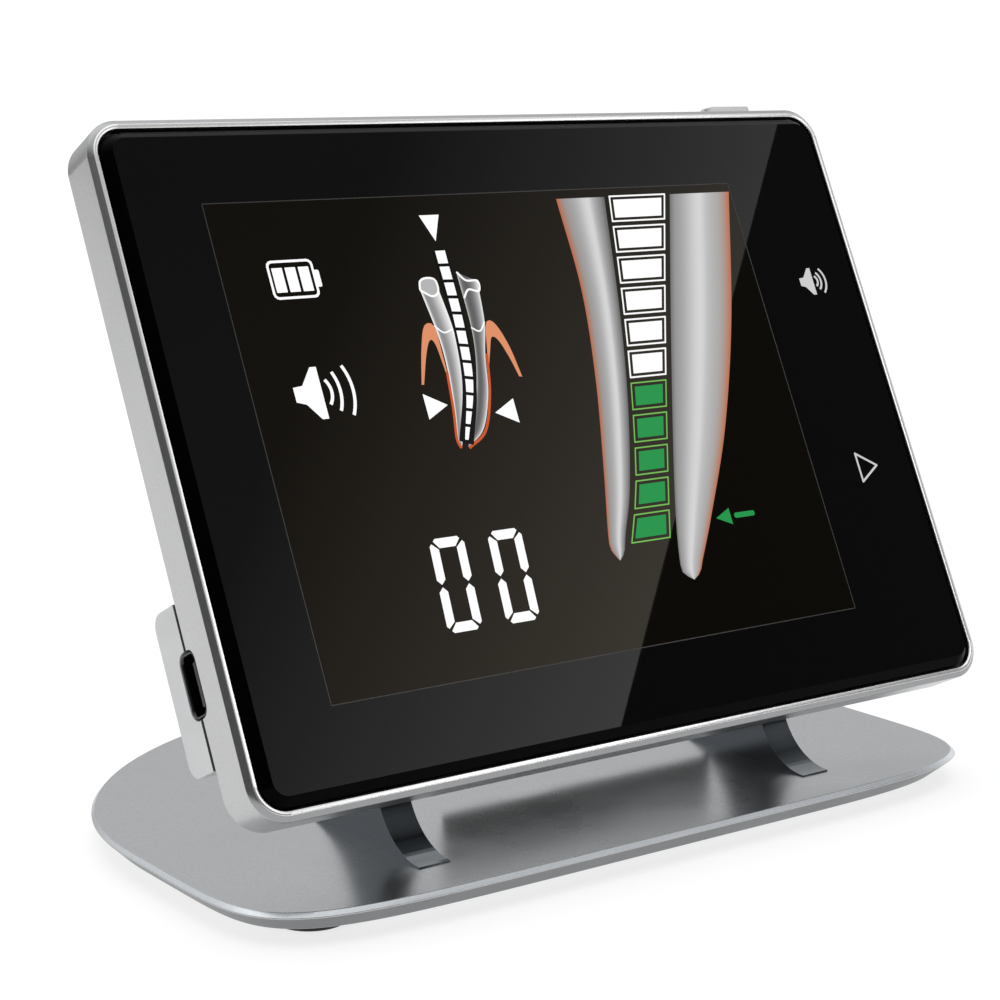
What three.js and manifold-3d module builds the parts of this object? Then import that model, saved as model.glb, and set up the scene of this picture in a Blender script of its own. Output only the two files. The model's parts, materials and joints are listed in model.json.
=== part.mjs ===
// Apex locator: a tilting display head on a low metal stand.
// Millimetres, +Z up, +X to the user's right, the display faces -Y.
// The origin is on the floor, under the middle of the base plate.

import * as THREE from 'three';
import { mergeVertices } from 'three/addons/utils/BufferGeometryUtils.js';
import Module from 'manifold-3d';

const wasm = await Module();
wasm.setup();

// ---------------------------------------------------------------- driving dimensions

const CLEARANCE = 0.3;

// Stand
const BASE = {
  halfWidth: 65,
  frontDepth: 38.2,      // from the widest line to the straight front edge
  rearDepth: 53.4,       // from the widest line to the back
  frontExponent: 6.5,    // squarish front half
  rearExponent: 2.04,    // almost elliptical rear half
  underside: 1.2,
  widestHeight: 3.8,
  top: 4.4,
  topChamfer: 0.6,
  undercut: 2.6,
};
const FRONT_EDGE = -(BASE.frontDepth + BASE.rearDepth) / 2;
const WIDEST_LINE = FRONT_EDGE + BASE.frontDepth;
const FOOT = {
  radius: 5.2,
  height: BASE.underside,
  edge: 0.5,
  frontX: 51.8,
  frontY: FRONT_EDGE + 11.9,
  rearX: 38.4,
  rearY: 24,
};

const ARM = {
  x: 34.4,
  thickness: 5,
  toeY: FRONT_EDGE + 9,
  toeHeight: 0.2,
  frontFillet: 10.3,
  rearFillet: 14,
  neck: 5.2,
  knuckleRadius: 3,
};
const ARM_SCREW = { headRadius: 2.2, headHeight: 1.5, headDrop: 0.3, radius: 1.2, length: 6.2, gap: 0.3 };
const ARM_SCREW_Y = [ARM.toeY + 10.8, ARM.toeY + 16.8];

// Hinges
const PIN_RADIUS = 1.4;
const PIN_LENGTH = 15;
const HOLE_RADIUS = PIN_RADIUS + 0.25;
const WASHER = { radius: ARM.knuckleRadius - 0.1, thickness: 0.4, gap: 0.2 };

// Head, in its own frame: x across, y behind the glass face, z up from the frame's lower edge
const TILT = THREE.MathUtils.degToRad(26);
const HINGE = { y: 11.6, z: 17 };                  // hinge axis in the head's frame
const HINGE_WORLD = { y: FRONT_EDGE + 20.4, z: 27.4 };

const FRAME = {
  width: 128.4,
  height: 94.6,
  corner: 5.2,
  crest: 0.9,            // depth of the bright crest behind the glass face
  sideStart: 1.5,
  back: 8.2,
  wall: 1.5,
  ledgeWidth: 2.5,
  ledgeStart: 2.2,
  ledgeEnd: 3.2,
};
const GLASS = { thickness: 1.9, bevelIn: 1.3, bevelDeep: 1.1 };
const SCREEN = { width: 91.44, height: 68.58, left: -50.3, bottom: 13.2 };   // 4.5 inch, 4:3
const LCD = { border: 3.5, start: 2.2, end: 3.2 };
const BACKLIGHT = { start: 3.5, end: 5.1 };
const BOARD = { left: -54, right: 45, bottom: 33, top: 86.8, start: 5.4, end: 6.4 };
const COVER = { start: 6.9, end: FRAME.back, windowHalfWidth: 58, windowInset: 2.4 };

const HUMP = {
  halfWidth: 64.1,
  bottom: 9,
  top: 31,
  front: FRAME.back + 0.6,
  back: 15.2,
  corner: 2.2,
  wall: 1.5,
};
const SLOT = { width: 6.6, top: HINGE.z + 3.8 };
const DOOR = { width: 46, height: 15, thickness: 0.75, lip: 2, z: 20 };
const SOCKET = { y: FRAME.back + 0.3, z: 20.2, length: 9, width: 4.8, corner: 1.6, wall: 0.35, depth: 7.4 };
const KEYS = { x: 52.3, soundZ: 65.6, playZ: 34.4 };
const TOUCH_BOARD = { halfWidth: 5, start: 4.3, end: 5.1, beyondKeys: 10 };
const TOUCH_SPRING = { outer: 3.2, inner: 2.4, start: 2.3, length: 1.7 };
const BUTTON = {
  x: 50, y: 5.1, length: 9.6, width: 2.2, proud: 2.1, travel: 0.5,
  flange: 0.7, flangeLip: 0.4, flangeThickness: 0.8,
};
const BATTERY = { halfWidth: 25, start: 7, end: 12.6, bottom: 12.3, top: 27.7, corner: 1.5 };
const BUZZER = { x: 52.5, z: 20, radius: 6, start: 8.9, end: 12.9 };
const GRILLE = { halfLength: 4, pitch: 2, slitWidth: 0.9 };
const COVER_SCREWS = [[-60.6, 42], [60.6, 42], [-60.6, 82], [60.6, 82]];
const HINGE_BLOCK = { halfWidth: 7.8, gap: 0.2 };
const HINGE_SCREW = { offset: 5, z: 26, hole: 1.25, sink: 2.25 };
const HINGE_SCREWS = [-ARM.x, ARM.x].flatMap((x) => [
  [x - HINGE_SCREW.offset, HINGE_SCREW.z], [x + HINGE_SCREW.offset, HINGE_SCREW.z],
]);
const DOOR_SCREW_X = [-DOOR.width / 2 + 2.2, DOOR.width / 2 - 2.2];

// ---------------------------------------------------------------- materials

function finish(colour, roughness, metalness) {
  return new THREE.MeshStandardMaterial({ color: colour, roughness, metalness });
}

const satinAluminium = () => finish(0xb4b8bb, 0.35, 0.9);
const darkAluminium = () => finish(0x83888c, 0.35, 0.9);
const blackGlass = () => finish(0x050505, 0.05, 0.1);
const rubber = () => finish(0x1c1d1e, 0.9, 0);
const steel = () => finish(0x9a9d9f, 0.3, 1);
const brass = () => finish(0xb08d4a, 0.35, 1);
const circuitBoard = () => finish(0x14502c, 0.6, 0.1);
const silverShell = () => finish(0xc9cbcc, 0.45, 0.6);
const blackPlastic = () => finish(0x151515, 0.5, 0);

// ---------------------------------------------------------------- geometry helpers

function solid(geometry) {
  const plain = geometry.clone();
  plain.deleteAttribute('normal');
  plain.deleteAttribute('uv');
  const merged = mergeVertices(plain, 1e-5);
  return new wasm.Manifold(new wasm.Mesh({
    numProp: 3,
    vertProperties: new Float32Array(merged.attributes.position.array),
    triVerts: new Uint32Array(merged.index.array),
  }));
}

function toGeometry(body) {
  const mesh = body.getMesh();
  const geometry = new THREE.BufferGeometry();
  geometry.setAttribute('position', new THREE.BufferAttribute(mesh.vertProperties, 3));
  geometry.setIndex(new THREE.BufferAttribute(mesh.triVerts, 1));
  return geometry;
}

function cut(geometry, tools) {
  let body = solid(geometry);
  for (const tool of tools) {
    body = body.subtract(solid(tool));
  }
  return toGeometry(body);
}

function join(geometries) {
  let body = solid(geometries[0]);
  for (const extra of geometries.slice(1)) {
    body = body.add(solid(extra));
  }
  return toGeometry(body);
}

// A skin over rings of equal length. A closed loft returns to its first ring, an open one is capped.
function loft(rings, closed) {
  const count = rings[0].length;
  const positions = rings.flat().flatMap((point) => point.toArray());
  const faces = [];
  const bands = closed ? rings.length : rings.length - 1;
  for (let band = 0; band < bands; band += 1) {
    const here = band * count;
    const next = ((band + 1) % rings.length) * count;
    for (let i = 0; i < count; i += 1) {
      const j = (i + 1) % count;
      faces.push(here + i, here + j, next + j);
      faces.push(here + i, next + j, next + i);
    }
  }
  if (!closed) {
    const fan = count - 2;
    const last = (rings.length - 1) * count;
    for (let i = 1; i <= fan; i += 1) {
      faces.push(0, i + 1, i);
      faces.push(last, last + i, last + i + 1);
    }
  }
  const geometry = new THREE.BufferGeometry();
  geometry.setAttribute('position', new THREE.Float32BufferAttribute(positions, 3));
  geometry.setIndex(faces);
  return geometry;
}

function box(x0, x1, y0, y1, z0, z1) {
  const geometry = new THREE.BoxGeometry(x1 - x0, y1 - y0, z1 - z0);
  geometry.translate((x0 + x1) / 2, (y0 + y1) / 2, (z0 + z1) / 2);
  return geometry;
}

// Upright turned solid from a profile of [radius, height] points that starts and ends on the axis.
function turned(profile, segments = 28) {
  const points = profile.map(([radius, height]) => new THREE.Vector2(radius, height));
  return new THREE.LatheGeometry(points, segments);
}

function disc(radius, length, segments = 28) {
  return turned([[0, 0], [radius, 0], [radius, length], [0, length]], segments);
}

// Turned solids are made standing on +Y. These lay them along the other axes.
const alongZ = (geometry) => geometry.rotateX(Math.PI / 2);
const alongX = (geometry) => geometry.rotateZ(-Math.PI / 2);

// Shape in the (y, z) plane, extruded along +X.
function extrudeAcross(shape, length, options = {}) {
  const geometry = new THREE.ExtrudeGeometry(shape, {
    depth: length, bevelEnabled: false, curveSegments: 8, ...options,
  });
  return geometry.applyMatrix4(new THREE.Matrix4().makeBasis(
    new THREE.Vector3(0, 1, 0), new THREE.Vector3(0, 0, 1), new THREE.Vector3(1, 0, 0),
  ));
}

// Shape in the (x, z) plane, filling the depth from y0 to y1.
function extrudeBack(shape, y0, y1) {
  const geometry = new THREE.ExtrudeGeometry(shape, {
    depth: y1 - y0, bevelEnabled: false, curveSegments: 8,
  });
  geometry.applyMatrix4(new THREE.Matrix4().makeBasis(
    new THREE.Vector3(1, 0, 0), new THREE.Vector3(0, 0, 1), new THREE.Vector3(0, -1, 0),
  ));
  return geometry.translate(0, y1, 0);
}

// Shape in the (x, y) plane, filling the height from z0 to z1.
function extrudeUp(shape, z0, z1) {
  const geometry = new THREE.ExtrudeGeometry(shape, {
    depth: z1 - z0, bevelEnabled: false, curveSegments: 8,
  });
  return geometry.translate(0, 0, z0);
}

function roundedShape(x0, x1, y0, y1, radius) {
  const shape = new THREE.Shape();
  shape.moveTo(x0 + radius, y0);
  shape.lineTo(x1 - radius, y0);
  shape.absarc(x1 - radius, y0 + radius, radius, -Math.PI / 2, 0);
  shape.lineTo(x1, y1 - radius);
  shape.absarc(x1 - radius, y1 - radius, radius, 0, Math.PI / 2);
  shape.lineTo(x0 + radius, y1);
  shape.absarc(x0 + radius, y1 - radius, radius, Math.PI / 2, Math.PI);
  shape.lineTo(x0, y0 + radius);
  shape.absarc(x0 + radius, y0 + radius, radius, Math.PI, Math.PI * 1.5);
  return shape;
}

// Rounded rectangle of the head's outline, drawn in by an inset, at one depth behind the glass face.
function headRing(inset, depth, cornerSegments = 10) {
  const halfWidth = FRAME.width / 2 - inset;
  const bottom = inset;
  const top = FRAME.height - inset;
  const radius = Math.max(FRAME.corner - inset, 0.5);
  const corners = [
    [halfWidth - radius, bottom + radius, -Math.PI / 2],
    [halfWidth - radius, top - radius, 0],
    [-halfWidth + radius, top - radius, Math.PI / 2],
    [-halfWidth + radius, bottom + radius, Math.PI],
  ];
  const ring = [];
  for (const [x, z, start] of corners) {
    for (let step = 0; step <= cornerSegments; step += 1) {
      const angle = start + (step / cornerSegments) * (Math.PI / 2);
      ring.push(new THREE.Vector3(x + radius * Math.cos(angle), depth, z + radius * Math.sin(angle)));
    }
  }
  return ring.reverse();
}

function headPlate(inset, y0, y1) {
  return loft([headRing(inset, y0), headRing(inset, y1)], false);
}

function part(name, geometry, material) {
  const mesh = new THREE.Mesh(geometry, material);
  mesh.name = name;
  return mesh;
}

// ---------------------------------------------------------------- stand

function baseRing(inset, height) {
  const ring = [];
  const steps = 96;
  for (let step = 0; step < steps; step += 1) {
    const angle = (step / steps) * Math.PI * 2;
    const c = Math.cos(angle);
    const s = Math.sin(angle);
    const front = s < 0;
    const power = 2 / (front ? BASE.frontExponent : BASE.rearExponent);
    const depth = (front ? BASE.frontDepth : BASE.rearDepth) - inset;
    ring.push(new THREE.Vector3(
      (BASE.halfWidth - inset) * Math.sign(c) * Math.abs(c) ** power,
      WIDEST_LINE + depth * Math.sign(s) * Math.abs(s) ** power,
      height,
    ));
  }
  return ring;
}

function basePlate() {
  const plate = loft([
    baseRing(BASE.undercut, BASE.underside),
    baseRing(0, BASE.widestHeight),
    baseRing(BASE.topChamfer, BASE.top),
  ], false);
  const holes = [];
  for (const x of [-ARM.x, ARM.x]) {
    for (const y of ARM_SCREW_Y) {
      const radius = ARM_SCREW.radius + ARM_SCREW.gap;
      const headRadius = ARM_SCREW.headRadius + ARM_SCREW.gap;
      const below = BASE.underside - 1;
      const sinkTop = BASE.underside + ARM_SCREW.headDrop + ARM_SCREW.headHeight + 0.2 - below;
      const length = BASE.top + 1 - below;
      const hole = alongZ(turned([
        [0, 0], [headRadius, 0], [headRadius, sinkTop], [radius, sinkTop], [radius, length], [0, length],
      ]));
      hole.translate(x, y, below);
      holes.push(hole);
    }
  }
  return part('base_plate', cut(plate, holes), satinAluminium());
}

// Side view of an arm: a toe, a hollow front, a round knuckle, and a hollow back down to the heel.
function armProfile() {
  const { toeY, toeHeight, frontFillet, rearFillet, neck, knuckleRadius } = ARM;
  const floor = BASE.top;
  const neckFront = toeY + frontFillet;
  const neckBack = neckFront + neck;
  const heelY = neckBack + rearFillet;
  const { y, z } = HINGE_WORLD;
  const shape = new THREE.Shape();
  shape.moveTo(heelY, floor);
  shape.lineTo(heelY, floor + toeHeight);
  shape.absarc(heelY, floor + toeHeight + rearFillet, rearFillet, -Math.PI / 2, -Math.PI, true);
  shape.lineTo(y + knuckleRadius, z);
  shape.absarc(y, z, knuckleRadius, 0, Math.PI);
  shape.lineTo(neckFront, floor + toeHeight + frontFillet);
  shape.absarc(toeY, floor + toeHeight + frontFillet, frontFillet, 0, -Math.PI / 2, true);
  shape.lineTo(toeY, floor);
  return shape;
}

function arm(name, x) {
  const plate = extrudeAcross(armProfile(), ARM.thickness, { curveSegments: 20 });
  plate.translate(x - ARM.thickness / 2, 0, 0);
  const pinHole = alongX(disc(HOLE_RADIUS, ARM.thickness + 2));
  pinHole.translate(x - ARM.thickness / 2 - 1, HINGE_WORLD.y, HINGE_WORLD.z);
  const holes = [pinHole];
  for (const y of ARM_SCREW_Y) {
    const radius = ARM_SCREW.radius + ARM_SCREW.gap;
    holes.push(alongZ(disc(radius, ARM_SCREW.length)).translate(x, y, BASE.top - 1));
  }
  return part(name, cut(plate, holes), darkAluminium());
}

function armScrew(name, x, y) {
  const { headRadius, headHeight, radius, length } = ARM_SCREW;
  const geometry = alongZ(turned([
    [0, 0], [headRadius, 0], [headRadius, headHeight], [radius, headHeight], [radius, length], [0, length],
  ]));
  geometry.translate(x, y, BASE.underside + ARM_SCREW.headDrop);
  return part(name, geometry, steel());
}

function rubberFoot(name, x, y) {
  const { radius, height, edge } = FOOT;
  const outline = [[0, 0], [radius - edge, 0], [radius, edge], [radius, height], [0, height]];
  const geometry = alongZ(turned(outline));
  geometry.translate(x, y, 0);
  return part(name, geometry, rubber());
}

function stand() {
  const group = new THREE.Group();
  group.add(basePlate());
  group.add(arm('arm_left', -ARM.x));
  group.add(arm('arm_right', ARM.x));
  let screwNumber = 1;
  for (const x of [-ARM.x, ARM.x]) {
    for (const y of ARM_SCREW_Y) {
      group.add(armScrew(`arm_screw_${screwNumber}`, x, y));
      screwNumber += 1;
    }
  }
  group.add(rubberFoot('foot_front_left', -FOOT.frontX, FOOT.frontY));
  group.add(rubberFoot('foot_front_right', FOOT.frontX, FOOT.frontY));
  group.add(rubberFoot('foot_rear_left', -FOOT.rearX, FOOT.rearY));
  group.add(rubberFoot('foot_rear_right', FOOT.rearX, FOOT.rearY));
  return group;
}

// ---------------------------------------------------------------- display side of the head

function coverGlass() {
  const edge = FRAME.wall + CLEARANCE;
  const geometry = loft([
    headRing(edge + GLASS.bevelIn, 0),
    headRing(edge + GLASS.bevelIn * 0.35, GLASS.bevelDeep * 0.35),
    headRing(edge, GLASS.bevelDeep),
    headRing(edge, GLASS.thickness),
  ], false);
  return part('cover_glass', geometry, blackGlass());
}

function socketOpening(x0, x1, grow) {
  const halfLength = SOCKET.length / 2 + grow;
  const halfWidth = SOCKET.width / 2 + grow;
  const shape = roundedShape(
    SOCKET.y - halfWidth, SOCKET.y + halfWidth,
    SOCKET.z - halfLength, SOCKET.z + halfLength, SOCKET.corner + grow,
  );
  return extrudeAcross(shape, x1 - x0).translate(x0, 0, 0);
}

function frontFrame() {
  const { crest, sideStart, back, wall, ledgeWidth, ledgeStart, ledgeEnd } = FRAME;
  const ring = loft([
    headRing(wall, crest + 0.5),
    headRing(wall - 0.5, crest),
    headRing(0, sideStart),
    headRing(0, back),
    headRing(wall, back),
    headRing(wall, ledgeEnd),
    headRing(wall + ledgeWidth, ledgeEnd),
    headRing(wall + ledgeWidth, ledgeStart),
    headRing(wall, ledgeStart),
  ], true);
  const bosses = COVER_SCREWS.map(([x, z]) => (
    disc(2.4, COVER.start - 0.3 - ledgeEnd + 0.4).translate(x, ledgeEnd - 0.4, z)
  ));
  const screwHoles = COVER_SCREWS.map(([x, z]) => disc(1.25, 4, 20).translate(x, 3.9, z));
  const buttonSlot = box(
    BUTTON.x - BUTTON.length / 2 - CLEARANCE, BUTTON.x + BUTTON.length / 2 + CLEARANCE,
    BUTTON.y - BUTTON.width / 2 - CLEARANCE, BUTTON.y + BUTTON.width / 2 + CLEARANCE,
    FRAME.height - wall - 1, FRAME.height + 1,
  );
  const socketNotch = socketOpening(-FRAME.width / 2 - 1, -FRAME.width / 2 + wall + 1, 0);
  const body = cut(join([ring, ...bosses]), [...screwHoles, buttonSlot, socketNotch]);
  return part('front_frame', body, satinAluminium());
}

function displayStack() {
  const { border } = LCD;
  const left = SCREEN.left - border;
  const right = SCREEN.left + SCREEN.width + border;
  const bottom = SCREEN.bottom - border;
  const top = SCREEN.bottom + SCREEN.height + border;
  return [
    part('lcd_panel', box(left, right, LCD.start, LCD.end, bottom, top), blackGlass()),
    part('backlight_unit', box(left, right, BACKLIGHT.start, BACKLIGHT.end, bottom, top), silverShell()),
  ];
}

function touchKeys() {
  const { halfWidth, start, end, beyondKeys } = TOUCH_BOARD;
  const board = box(
    KEYS.x - halfWidth, KEYS.x + halfWidth, start, end,
    KEYS.playZ - beyondKeys, KEYS.soundZ + beyondKeys,
  );
  const parts = [part('touch_board', board, circuitBoard())];
  for (const [name, z] of [['touch_spring_sound', KEYS.soundZ], ['touch_spring_play', KEYS.playZ]]) {
    const { outer, inner, length } = TOUCH_SPRING;
    const spring = turned([[outer, 0], [outer, length], [inner, length], [inner, 0], [outer, 0]]);
    parts.push(part(name, spring.translate(KEYS.x, TOUCH_SPRING.start, z), brass()));
  }
  return parts;
}

function powerButton() {
  const { x, y, length, width, proud, travel, flange, flangeLip, flangeThickness } = BUTTON;
  const innerFace = FRAME.height - FRAME.wall;
  const flangeTop = innerFace - CLEARANCE;
  const flangeBottom = flangeTop - flangeThickness;
  const cap = extrudeUp(
    roundedShape(x - length / 2, x + length / 2, y - width / 2, y + width / 2, width / 2 - 0.01),
    flangeTop - 0.2, FRAME.height + proud,
  );
  const rim = box(
    x - length / 2 - flange, x + length / 2 + flange,
    y - width / 2 - flangeLip, y + width / 2 + flangeLip, flangeBottom, flangeTop,
  );
  const switchTop = flangeBottom - travel - 0.15;
  const plunger = box(x - 1.2, x + 1.2, y - 0.7, y + 0.7, switchTop - 1, switchTop);
  const housing = box(x - 2.6, x + 2.6, y - 1.2, y + 1.2, BOARD.top + 0.3, switchTop - 0.5);
  return {
    button: part('power_button', join([cap, rim]), silverShell()),
    tactSwitch: part('tact_switch', join([housing, plunger]), blackPlastic()),
  };
}

// ---------------------------------------------------------------- rear of the head

function backCover() {
  const plate = headPlate(FRAME.wall + CLEARANCE, COVER.start, COVER.end);
  const { windowHalfWidth, windowInset } = COVER;
  const window = box(
    -windowHalfWidth, windowHalfWidth, COVER.start - 1, COVER.end + 1,
    HUMP.bottom + windowInset, HUMP.top - windowInset,
  );
  const socketNotch = socketOpening(-FRAME.width / 2, -FRAME.width / 2 + SOCKET.depth + 1, CLEARANCE);
  const screwHoles = COVER_SCREWS.map(([x, z]) => turned([
    [0, 0], [1.3, 0], [1.3, 1.6], [2.3, 1.6], [2.3, 3], [0, 3],
  ], 24).translate(x, COVER.start - 1, z));
  return part('back_cover', cut(plate, [window, socketNotch, ...screwHoles]), silverShell());
}

function coverScrew(name, x, z) {
  const geometry = turned([[0, 0], [1, 0], [1, 3.5], [2, 3.5], [2, 4.1], [0, 4.1]], 20);
  return part(name, geometry.translate(x, COVER.end - 4.2, z), steel());
}

// Side section of the hump: square towards the head, both rear corners rounded.
function humpSection(inset, frontExtra) {
  const front = HUMP.front - frontExtra;
  const back = HUMP.back - inset;
  const bottom = HUMP.bottom + inset;
  const top = HUMP.top - inset;
  const radius = HUMP.corner - inset * 0.8;
  const shape = new THREE.Shape();
  shape.moveTo(front, bottom);
  shape.lineTo(back - radius, bottom);
  shape.absarc(back - radius, bottom + radius, radius, -Math.PI / 2, 0);
  shape.lineTo(back, top - radius);
  shape.absarc(back - radius, top - radius, radius, 0, Math.PI / 2);
  shape.lineTo(front, top);
  return shape;
}

function rearHousing() {
  const { halfWidth, wall, bottom, back } = HUMP;
  const outer = extrudeAcross(humpSection(0, 0), 2 * halfWidth).translate(-halfWidth, 0, 0);
  const inner = extrudeAcross(humpSection(wall, 1), 2 * (halfWidth - wall));
  inner.translate(-halfWidth + wall, 0, 0);
  const tools = [inner];
  for (const x of [-ARM.x, ARM.x]) {
    const half = SLOT.width / 2;
    tools.push(box(x - half, x + half, HUMP.front - 1, back + 1, bottom - 1, SLOT.top));
  }
  const halfDoor = DOOR.width / 2 + CLEARANCE;
  const doorBottom = DOOR.z - DOOR.height / 2 - CLEARANCE;
  const doorTop = DOOR.z + DOOR.height / 2 + CLEARANCE;
  const pocketStart = back - DOOR.thickness - 0.2;
  tools.push(box(-halfDoor, halfDoor, pocketStart, back + 1, doorBottom, doorTop));
  tools.push(box(
    -halfDoor + DOOR.lip + 2, halfDoor - DOOR.lip - 2, back - wall - 1, back + 1,
    doorBottom + DOOR.lip, doorTop - DOOR.lip,
  ));
  for (const x of DOOR_SCREW_X) {
    tools.push(disc(0.95, 4, 20).translate(x, back - 3, DOOR.z));
  }
  for (const [x, z] of HINGE_SCREWS) {
    tools.push(disc(HINGE_SCREW.hole, 4, 20).translate(x, back - 3, z));
    tools.push(disc(HINGE_SCREW.sink, 2, 24).translate(x, back - 0.8, z));
  }
  for (let slit = -2; slit <= 2; slit += 1) {
    const z = BUZZER.z + slit * GRILLE.pitch;
    tools.push(box(
      BUZZER.x - GRILLE.halfLength, BUZZER.x + GRILLE.halfLength, back - wall - 1, back + 1,
      z - GRILLE.slitWidth / 2, z + GRILLE.slitWidth / 2,
    ));
  }
  tools.push(socketOpening(-FRAME.width / 2 - 1, -halfWidth + wall + 0.5, 0));
  return part('rear_housing', cut(outer, tools), silverShell());
}

function batteryDoor() {
  const halfWidth = DOOR.width / 2;
  const top = DOOR.z + DOOR.height / 2;
  const bottom = DOOR.z - DOOR.height / 2;
  const plate = extrudeBack(
    roundedShape(-halfWidth, halfWidth, bottom, top, 0.8), HUMP.back - DOOR.thickness, HUMP.back,
  );
  const grip = box(-6, 6, HUMP.back - 0.35, HUMP.back + 1, bottom + 1.6, bottom + 2.6);
  const holes = DOOR_SCREW_X.map((x) => disc(0.95, 3, 20).translate(x, HUMP.back - 2, DOOR.z));
  return part('battery_door', cut(plate, [grip, ...holes]), silverShell());
}

function doorScrew(name, x) {
  const geometry = turned([[0, 0], [0.65, 0], [0.65, 2.5], [1.4, 2.5], [1.4, 3], [0, 3]], 20);
  return part(name, geometry.translate(x, HUMP.back - 2.3, DOOR.z), steel());
}

function hingeBlock(name, x) {
  const half = HINGE_BLOCK.halfWidth;
  const start = HUMP.front + HINGE_BLOCK.gap;
  const end = HUMP.back - HUMP.wall - CLEARANCE;
  const body = box(x - half, x + half, start, end, HUMP.bottom + 2, HUMP.top - 2);
  const slot = box(x - SLOT.width / 2, x + SLOT.width / 2, start - 1, end + 1, HUMP.bottom, SLOT.top);
  const pinHole = alongX(disc(HOLE_RADIUS, 2 * half + 2)).translate(x - half - 1, HINGE.y, HINGE.z);
  const screwHoles = [x - HINGE_SCREW.offset, x + HINGE_SCREW.offset].map((screwX) => (
    disc(HINGE_SCREW.hole, 6, 20).translate(screwX, HUMP.back - 5.4, HINGE_SCREW.z)
  ));
  return part(name, cut(body, [slot, pinHole, ...screwHoles]), darkAluminium());
}

function hingePin(name, x) {
  const geometry = alongX(disc(PIN_RADIUS, PIN_LENGTH)).translate(x - PIN_LENGTH / 2, HINGE.y, HINGE.z);
  return part(name, geometry, steel());
}

function frictionWasher(name, x) {
  const { radius, thickness } = WASHER;
  const profile = [
    [HOLE_RADIUS, 0], [radius, 0], [radius, thickness], [HOLE_RADIUS, thickness], [HOLE_RADIUS, 0],
  ];
  const geometry = alongX(turned(profile)).translate(x, HINGE.y, HINGE.z);
  return part(name, geometry, brass());
}

function hingeScrew(name, x, z) {
  const geometry = turned([[0, 0], [1, 0], [1, 4.1], [2, 4.1], [2, 4.7], [0, 4.7]], 20);
  return part(name, geometry.translate(x, HUMP.back - 4.8, z), steel());
}

function hinges() {
  const parts = [];
  let washer = 1;
  for (const [side, x] of [['left', -ARM.x], ['right', ARM.x]]) {
    parts.push(hingeBlock(`hinge_block_${side}`, x));
    parts.push(hingePin(`hinge_pin_${side}`, x));
    const reach = ARM.thickness / 2 + WASHER.gap;
    for (const start of [x - reach - WASHER.thickness, x + reach]) {
      parts.push(frictionWasher(`friction_washer_${washer}`, start));
      washer += 1;
    }
  }
  HINGE_SCREWS.forEach(([x, z], index) => {
    parts.push(hingeScrew(`hinge_screw_${index + 1}`, x, z));
  });
  return parts;
}

function leadSocket() {
  const outside = -HUMP.halfWidth;
  const inside = outside + SOCKET.depth;
  const shell = cut(
    socketOpening(outside, inside, -0.25),
    [socketOpening(outside - 1, inside - 0.8, -0.25 - SOCKET.wall)],
  );
  const tongue = box(outside + 0.8, inside - 1, SOCKET.y - 0.35, SOCKET.y + 0.35, SOCKET.z - 3, SOCKET.z + 3);
  const boardStart = SOCKET.y + SOCKET.width / 2 + 0.1;
  const board = box(outside + 1.5, outside + 19, boardStart, boardStart + 1, SOCKET.z - 7.2, SOCKET.z + 7.8);
  return [
    part('socket_shell', shell, steel()),
    part('socket_tongue', tongue, blackPlastic()),
    part('socket_board', board, circuitBoard()),
  ];
}

function electronics() {
  const board = box(BOARD.left, BOARD.right, BOARD.start, BOARD.end, BOARD.bottom, BOARD.top);
  const { halfWidth, bottom, top, corner } = BATTERY;
  const outline = roundedShape(-halfWidth, halfWidth, bottom, top, corner);
  const cell = extrudeBack(outline, BATTERY.start, BATTERY.end);
  const buzzer = disc(BUZZER.radius, BUZZER.end - BUZZER.start).translate(BUZZER.x, BUZZER.start, BUZZER.z);
  return [
    part('main_board', board, circuitBoard()),
    part('battery', cell, finish(0x8f9aa5, 0.4, 0.6)),
    part('buzzer', buzzer, blackPlastic()),
  ];
}

function head() {
  const contents = new THREE.Group();
  contents.position.set(0, -HINGE.y, -HINGE.z);
  const { button, tactSwitch } = powerButton();
  contents.add(coverGlass(), frontFrame(), ...displayStack(), ...touchKeys());
  contents.add(backCover(), rearHousing(), batteryDoor(), ...electronics());
  COVER_SCREWS.forEach(([x, z], index) => contents.add(coverScrew(`cover_screw_${index + 1}`, x, z)));
  DOOR_SCREW_X.forEach((x, index) => contents.add(doorScrew(`door_screw_${index + 1}`, x)));
  contents.add(...hinges(), ...leadSocket(), button, tactSwitch);

  const tilted = new THREE.Group();
  tilted.position.set(0, HINGE_WORLD.y, HINGE_WORLD.z);
  tilted.rotation.x = -TILT;
  tilted.add(contents);
  return tilted;
}

const group = new THREE.Group();
group.add(stand(), head());

export default group;
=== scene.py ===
"""Apex locator on its stand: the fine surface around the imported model.

Metres, +Z up, the display faces -Y.
"""

import json
import math

import bmesh
import bpy
from mathutils import Matrix, Vector


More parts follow.
